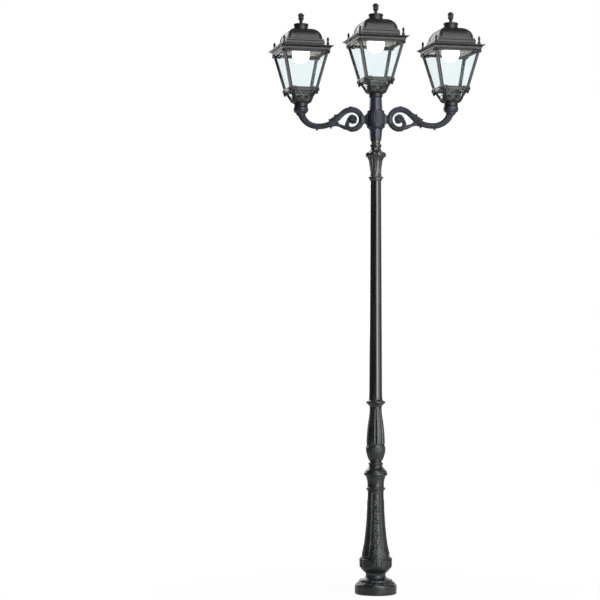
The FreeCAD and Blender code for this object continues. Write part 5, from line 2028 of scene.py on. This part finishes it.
@dataclass
class Crown(Lantern):
    """What stands on the roof: the chimney cap, the tulip finial and four pinnacles."""

    cap_foot: float = 435.5
    cap: float = 40.2
    lip: float = 41.8
    finial_foot: float = 472.0
    petals: int = 6
    pinnacle_reach: float = 124.5
    pinnacle_foot: float = 331.5

    def chimney(self) -> Shape:
        """The cap: a cylinder with a rounded lip and a slightly domed top.

        Returns:
            The cap, at its height above the collar's foot.
        """
        side = drawn([
            (0, 0), (self.cap + 1.2, 0), (self.cap, 2, -0.15), (self.cap - 0.6, 21),
            (self.cap + 0.6, 23, -0.2), (self.lip - 0.6, 25), (self.lip, 28, 0.25),
            (self.lip - 0.4, 32.5, 0.2), (38.5, 34.2, 0.2), (37, 33.6), (24, 35.6, 0.03), (13, 36.5, 0.02),
            (0, 36.5),
        ], 2)
        return Shape.lathe(side, 96).turned(at(up=self.cap_foot))

    def petal_curve(self, points: Array) -> Array:
        """Grooves between the petals and a ridge along each.

        Args:
            points: Where the vertices are.

        Returns:
            How far the skin stands out at each.
        """
        off, radius = around(points, self.petals, 30)
        gap, _ = around(points, self.petals)
        flower = step_in(points[:, 2], 15, 51, 9) * (radius > 8)
        return (-2.2 * np.exp(-((gap / 1.8) ** 2)) + ridge(off, 2.2) * 0.8) * flower

    def finial(self) -> Shape:
        """A tulip whose petals curl out round a bud, on a ringed stem.

        Returns:
            The tulip and its bud, at their height above the collar's foot.
        """
        tulip = drawn([
            (0, 0), (12.6, 0), (12.0, 1.6, 0.2), (9.4, 3.4, -0.2), (8.4, 6, -0.1), (9.4, 8.4),
            (10.4, 10, 0.25), (9.6, 11.8, 0.25), (8.2, 13, -0.1), (8.6, 15.6, -0.1), (11.6, 18.4),
            (14.6, 23, 0.05), (15.6, 30, 0.04), (15, 38), (15.4, 43, -0.05), (17, 47, -0.1),
            (19.4, 49.6, -0.05), (19.6, 50.6, 0.3), (18, 50.6), (14.4, 47, 0.1), (12.6, 42), (12.2, 36),
            (0, 34),
        ], 1.4)
        shape = Shape.lathe(tulip, 96)
        spots = shape.points()
        angle = np.arctan2(spots[:, 1], spots[:, 0])
        tip = np.abs(np.sin(angle * self.petals / 2)) ** 0.7
        rim = np.clip((spots[:, 2] - 41) / 9, 0, 1) * (np.hypot(spots[:, 0], spots[:, 1]) > 11)
        pull = rim * (1 - tip)
        spots[:, 2] -= pull * 6.5
        spots[:, :2] *= (1 - pull * 0.16)[:, None]
        shape.moved(spots).raised(self.petal_curve)
        bud = drawn([
            (0, 34), (11.6, 34), (12.2, 42, 0.05), (12.4, 48), (11.8, 53, 0.1), (9.4, 57.4, 0.1),
            (5, 59.8, 0.1), (0, 60.4, 0.05),
        ], 1.4)
        folds = Shape.lathe(bud, 64)
        folds.raised(lambda p: 0.8 * np.cos(around(p, self.petals)[0] / 2.0) * step_in(p[:, 2], 38, 60, 6))
        return Shape().add(shape.add(folds), at(up=self.finial_foot))

    def pinnacle(self) -> Shape:
        """One pinnacle: a plain foot, a neck with a ring, a bulb and a small tip.

        Returns:
            The pinnacle, drawn from its foot.
        """
        side = drawn([
            (0, 0), (9, 0), (8.6, 1.5), (8.4, 15.5), (7.6, 17, 0.2), (5.2, 18.4, -0.1), (4.8, 21),
            (6, 22.4, 0.2), (6, 23.8), (4.8, 25, 0.2), (4.6, 27.4), (6.6, 30.6, 0.1), (7.2, 35, 0.1),
            (6.8, 39.4, 0.1), (5, 42.4, 0.1), (3.2, 43.4), (3.4, 45.4, 0.2), (2.2, 48.6, 0.15),
            (0, 49.8, 0.1),
        ], 1.6)
        return Shape.lathe(side, 32)

    def build(self) -> None:
        """Build the cap, the finial and the pinnacles."""
        spot = at(self.pinnacle_reach, self.pinnacle_reach, self.pinnacle_foot)
        four = self.pinnacle().with_copies(quarter_turns(spot))
        self.cast(self.chimney(), "chimney_casting", "roof", "chimney_cap")
        self.cast(self.finial(), "finial_casting", "roof", "finial", 60)
        self.cast(four, "pinnacle_turnings", "roof", "pinnacles")


@dataclass
class Bowl(Lantern):
    """The opal bowl round the light, a straight rim on a half sphere."""

    radius: float = 50.0
    depth: float = 69.0
    rim: float = 317.0
    glass: float = 2.5

    def build(self) -> None:
        """Blow the bowl."""
        foot, round_top = self.rim - self.depth, self.rim - self.depth + self.radius
        outer = drawn([(0, foot), (self.radius, round_top, QUARTER), (self.radius, self.rim)], 5)
        inside = self.radius - self.glass
        inner = drawn([(inside, self.rim), (inside, round_top), (0, foot + self.glass, -QUARTER)], 5)
        self.stand(Shape.lathe(outer + inner, 96), "opal_glass", Finish.OPAL, "roof", "opal", "opal_bowl")


# Studio


@dataclass(frozen=True)
class SoftBox:
    """A rectangular soft light: where it hangs, what it faces, its width, height and brightness."""

    name: str
    spot: tuple[float, float, float]
    towards: tuple[float, float, float]
    size: tuple[float, float]
    bright: float

    def hang(self) -> None:
        """Hang the light, out of the camera's sight."""
        light = bpy.data.lights.new(self.name, "AREA")
        light.shape = "RECTANGLE"
        light.size, light.size_y = self.size
        light.energy = self.bright * math.pi * self.size[0] * self.size[1]
        holder = put_in_scene(self.name, light)
        holder.location = self.spot
        holder.rotation_mode = "QUATERNION"
        holder.rotation_quaternion = (Vector(self.towards) - Vector(self.spot)).to_track_quat("-Z", "Y")
        holder.visible_camera = False


@dataclass
class Studio:
    """A plain pale floor, soft lights and the camera, low and in front."""

    distance: float = 10.3
    eye: float = 1.27
    aim: float = 1.6326
    pan: float = 2.351
    lens: float = 110.61
    dusk: float = 0.04
    dusk_colour: Colour = (0.92, 0.96, 1.0, 1.0)
    floor_glow: float = 0.96
    floor_radius: float = 30.0
    boxes: tuple[SoftBox, ...] = (
        SoftBox("soft_right", (3.2, -2.6, 2.2), (0, 0, 2.0), (6.4, 4.4), 1.5),
        SoftBox("soft_front", (2.2, -3.5, 2.2), (0, 0, 1.9), (2.0, 4.2), 4.8),
        SoftBox("soft_left", (-4.0, -1.2, 2.6), (0, 0, 2.0), (1.0, 4.0), 0.2),
        SoftBox("soft_top", (0.9, -2.6, 5.4), (0, 0, 2.8), (3.0, 2.6), 3.8),
        SoftBox("soft_back", (-2.4, 4.2, 3.6), (0, 0, 2.0), (3.6, 4.4), 2.6),
    )

    def surroundings(self) -> None:
        """White behind the object, and a dim grey that lights it."""
        world = bpy.data.worlds.new("studio")
        bpy.context.scene.world = world
        wiring = Wiring(world)
        seen = wiring.node("ShaderNodeLightPath", output="Is Camera Ray")
        through = wiring.node("ShaderNodeLightPath", output="Is Transmission Ray")
        mirrored = wiring.node("ShaderNodeLightPath", output="Is Glossy Ray")
        behind = wiring.node("ShaderNodeSeparateXYZ", None, {"Vector": wiring.place}, "Y").between(0.35, 0.95)
        dim = {"Color": self.dusk_colour, "Strength": self.dusk}
        white = {"Color": (1, 1, 1, 1), "Strength": 1.0}
        wiring.blend(seen + through + mirrored * behind, wiring.node("ShaderNodeBackground", None, dim),
                     wiring.node("ShaderNodeBackground", None, white), "ShaderNodeOutputWorld")

    def floor(self) -> None:
        """A round white floor that keeps the object's shadow and fades into the white behind."""
        shape = Shape()
        bmesh.ops.create_circle(shape.mesh, cap_ends=True, segments=96, radius=self.floor_radius)
        wiring = Wiring.of_material("studio_floor")
        seen = wiring.node("ShaderNodeLightPath", output="Is Camera Ray")
        away = wiring.node("ShaderNodeVectorMath", {"operation": "LENGTH"}, {0: wiring.place}, "Value")
        share = seen * (self.floor_glow + away.between(0.3, 1.6) * (1 - self.floor_glow))
        matt = wiring.node("ShaderNodeBsdfDiffuse", None, {"Color": shade(236, 236, 236)})
        glow = wiring.node("ShaderNodeEmission", None, {"Color": (1, 1, 1, 1), "Strength": 1.0})
        wiring.blend(share, matt, glow, "ShaderNodeOutputMaterial")
        mesh = bpy.data.meshes.new("floor")
        shape.mesh.to_mesh(mesh)
        mesh.materials.append(wiring.owner)
        put_in_scene("floor", mesh)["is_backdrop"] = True

    def camera(self) -> None:
        """Set the camera at the photograph's place, panned so that the post stands right of the middle."""
        data = bpy.data.cameras.new("camera")
        data.lens = self.lens
        data.sensor_width = 36
        holder = put_in_scene("camera", data)
        spot = Vector((0, -self.distance, self.eye))
        tilt = (Vector((0, 0, self.aim)) - spot).to_track_quat("-Z", "Y").to_matrix().to_4x4()
        pan = Matrix.Rotation(math.radians(self.pan), 4, "Y")
        holder.matrix_world = Matrix.Translation(spot) @ tilt @ pan
        bpy.context.scene.camera = holder

    def build(self) -> None:
        """Set up the studio."""
        bpy.context.scene.view_settings.view_transform = "Standard"
        self.surroundings()
        self.floor()
        for box in self.boxes:
            box.hang()
        self.camera()


CARRIED_OVER = {
    Finish.ZINC: ["foot_plate", "core_tube", "left_spigot", "right_spigot"],
    Finish.STEEL: ["arm_bolts", "*_hinge_pin"],
    Finish.SCREW: ["*_set_screws"],
    Finish.RUBBER: ["*_roof_seal"],
    Finish.PANE: ["*_diffuser"],
    Finish.CREAM: ["*_reflector"],
    Finish.MODULE: ["*_light_module"],
    Finish.DRIVER: ["*_driver"],
}


def dress_carried_over() -> None:
    """Paint the nodes that show as the model gives them."""
    for finish, names in CARRIED_OVER.items():
        for name in names:
            for side in ("left", "centre", "right") if name.startswith("*") else ("",):
                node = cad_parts[name.replace("*", side)]
                node.data.materials.clear()
                node.data.materials.append(finish.material())


def note_sizes() -> None:
    """Gather the model's box and the dressed part's box as plain lists."""
    boxes = {"cad": CAD_BOX, "visual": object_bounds()}
    plain = {name: [list(corner) for corner in box] for name, box in boxes.items()}


def main() -> None:
    """Build every piece in order and set up the studio."""
    logging.basicConfig(level=logging.INFO, format="%(message)s")
    for part in (Plinth(), BaseColumn(), Knop(), Vase(), TaperedTube(), Capital(), Hub(), Arm(), Cage(),
                 FrameWork(), Roof(), Crown(), Bowl()):
        log.info("%s", type(part).__name__)
        part.build()
    dress_carried_over()
    Studio().build()
    note_sizes()


if __name__ == "__main__":
    main()
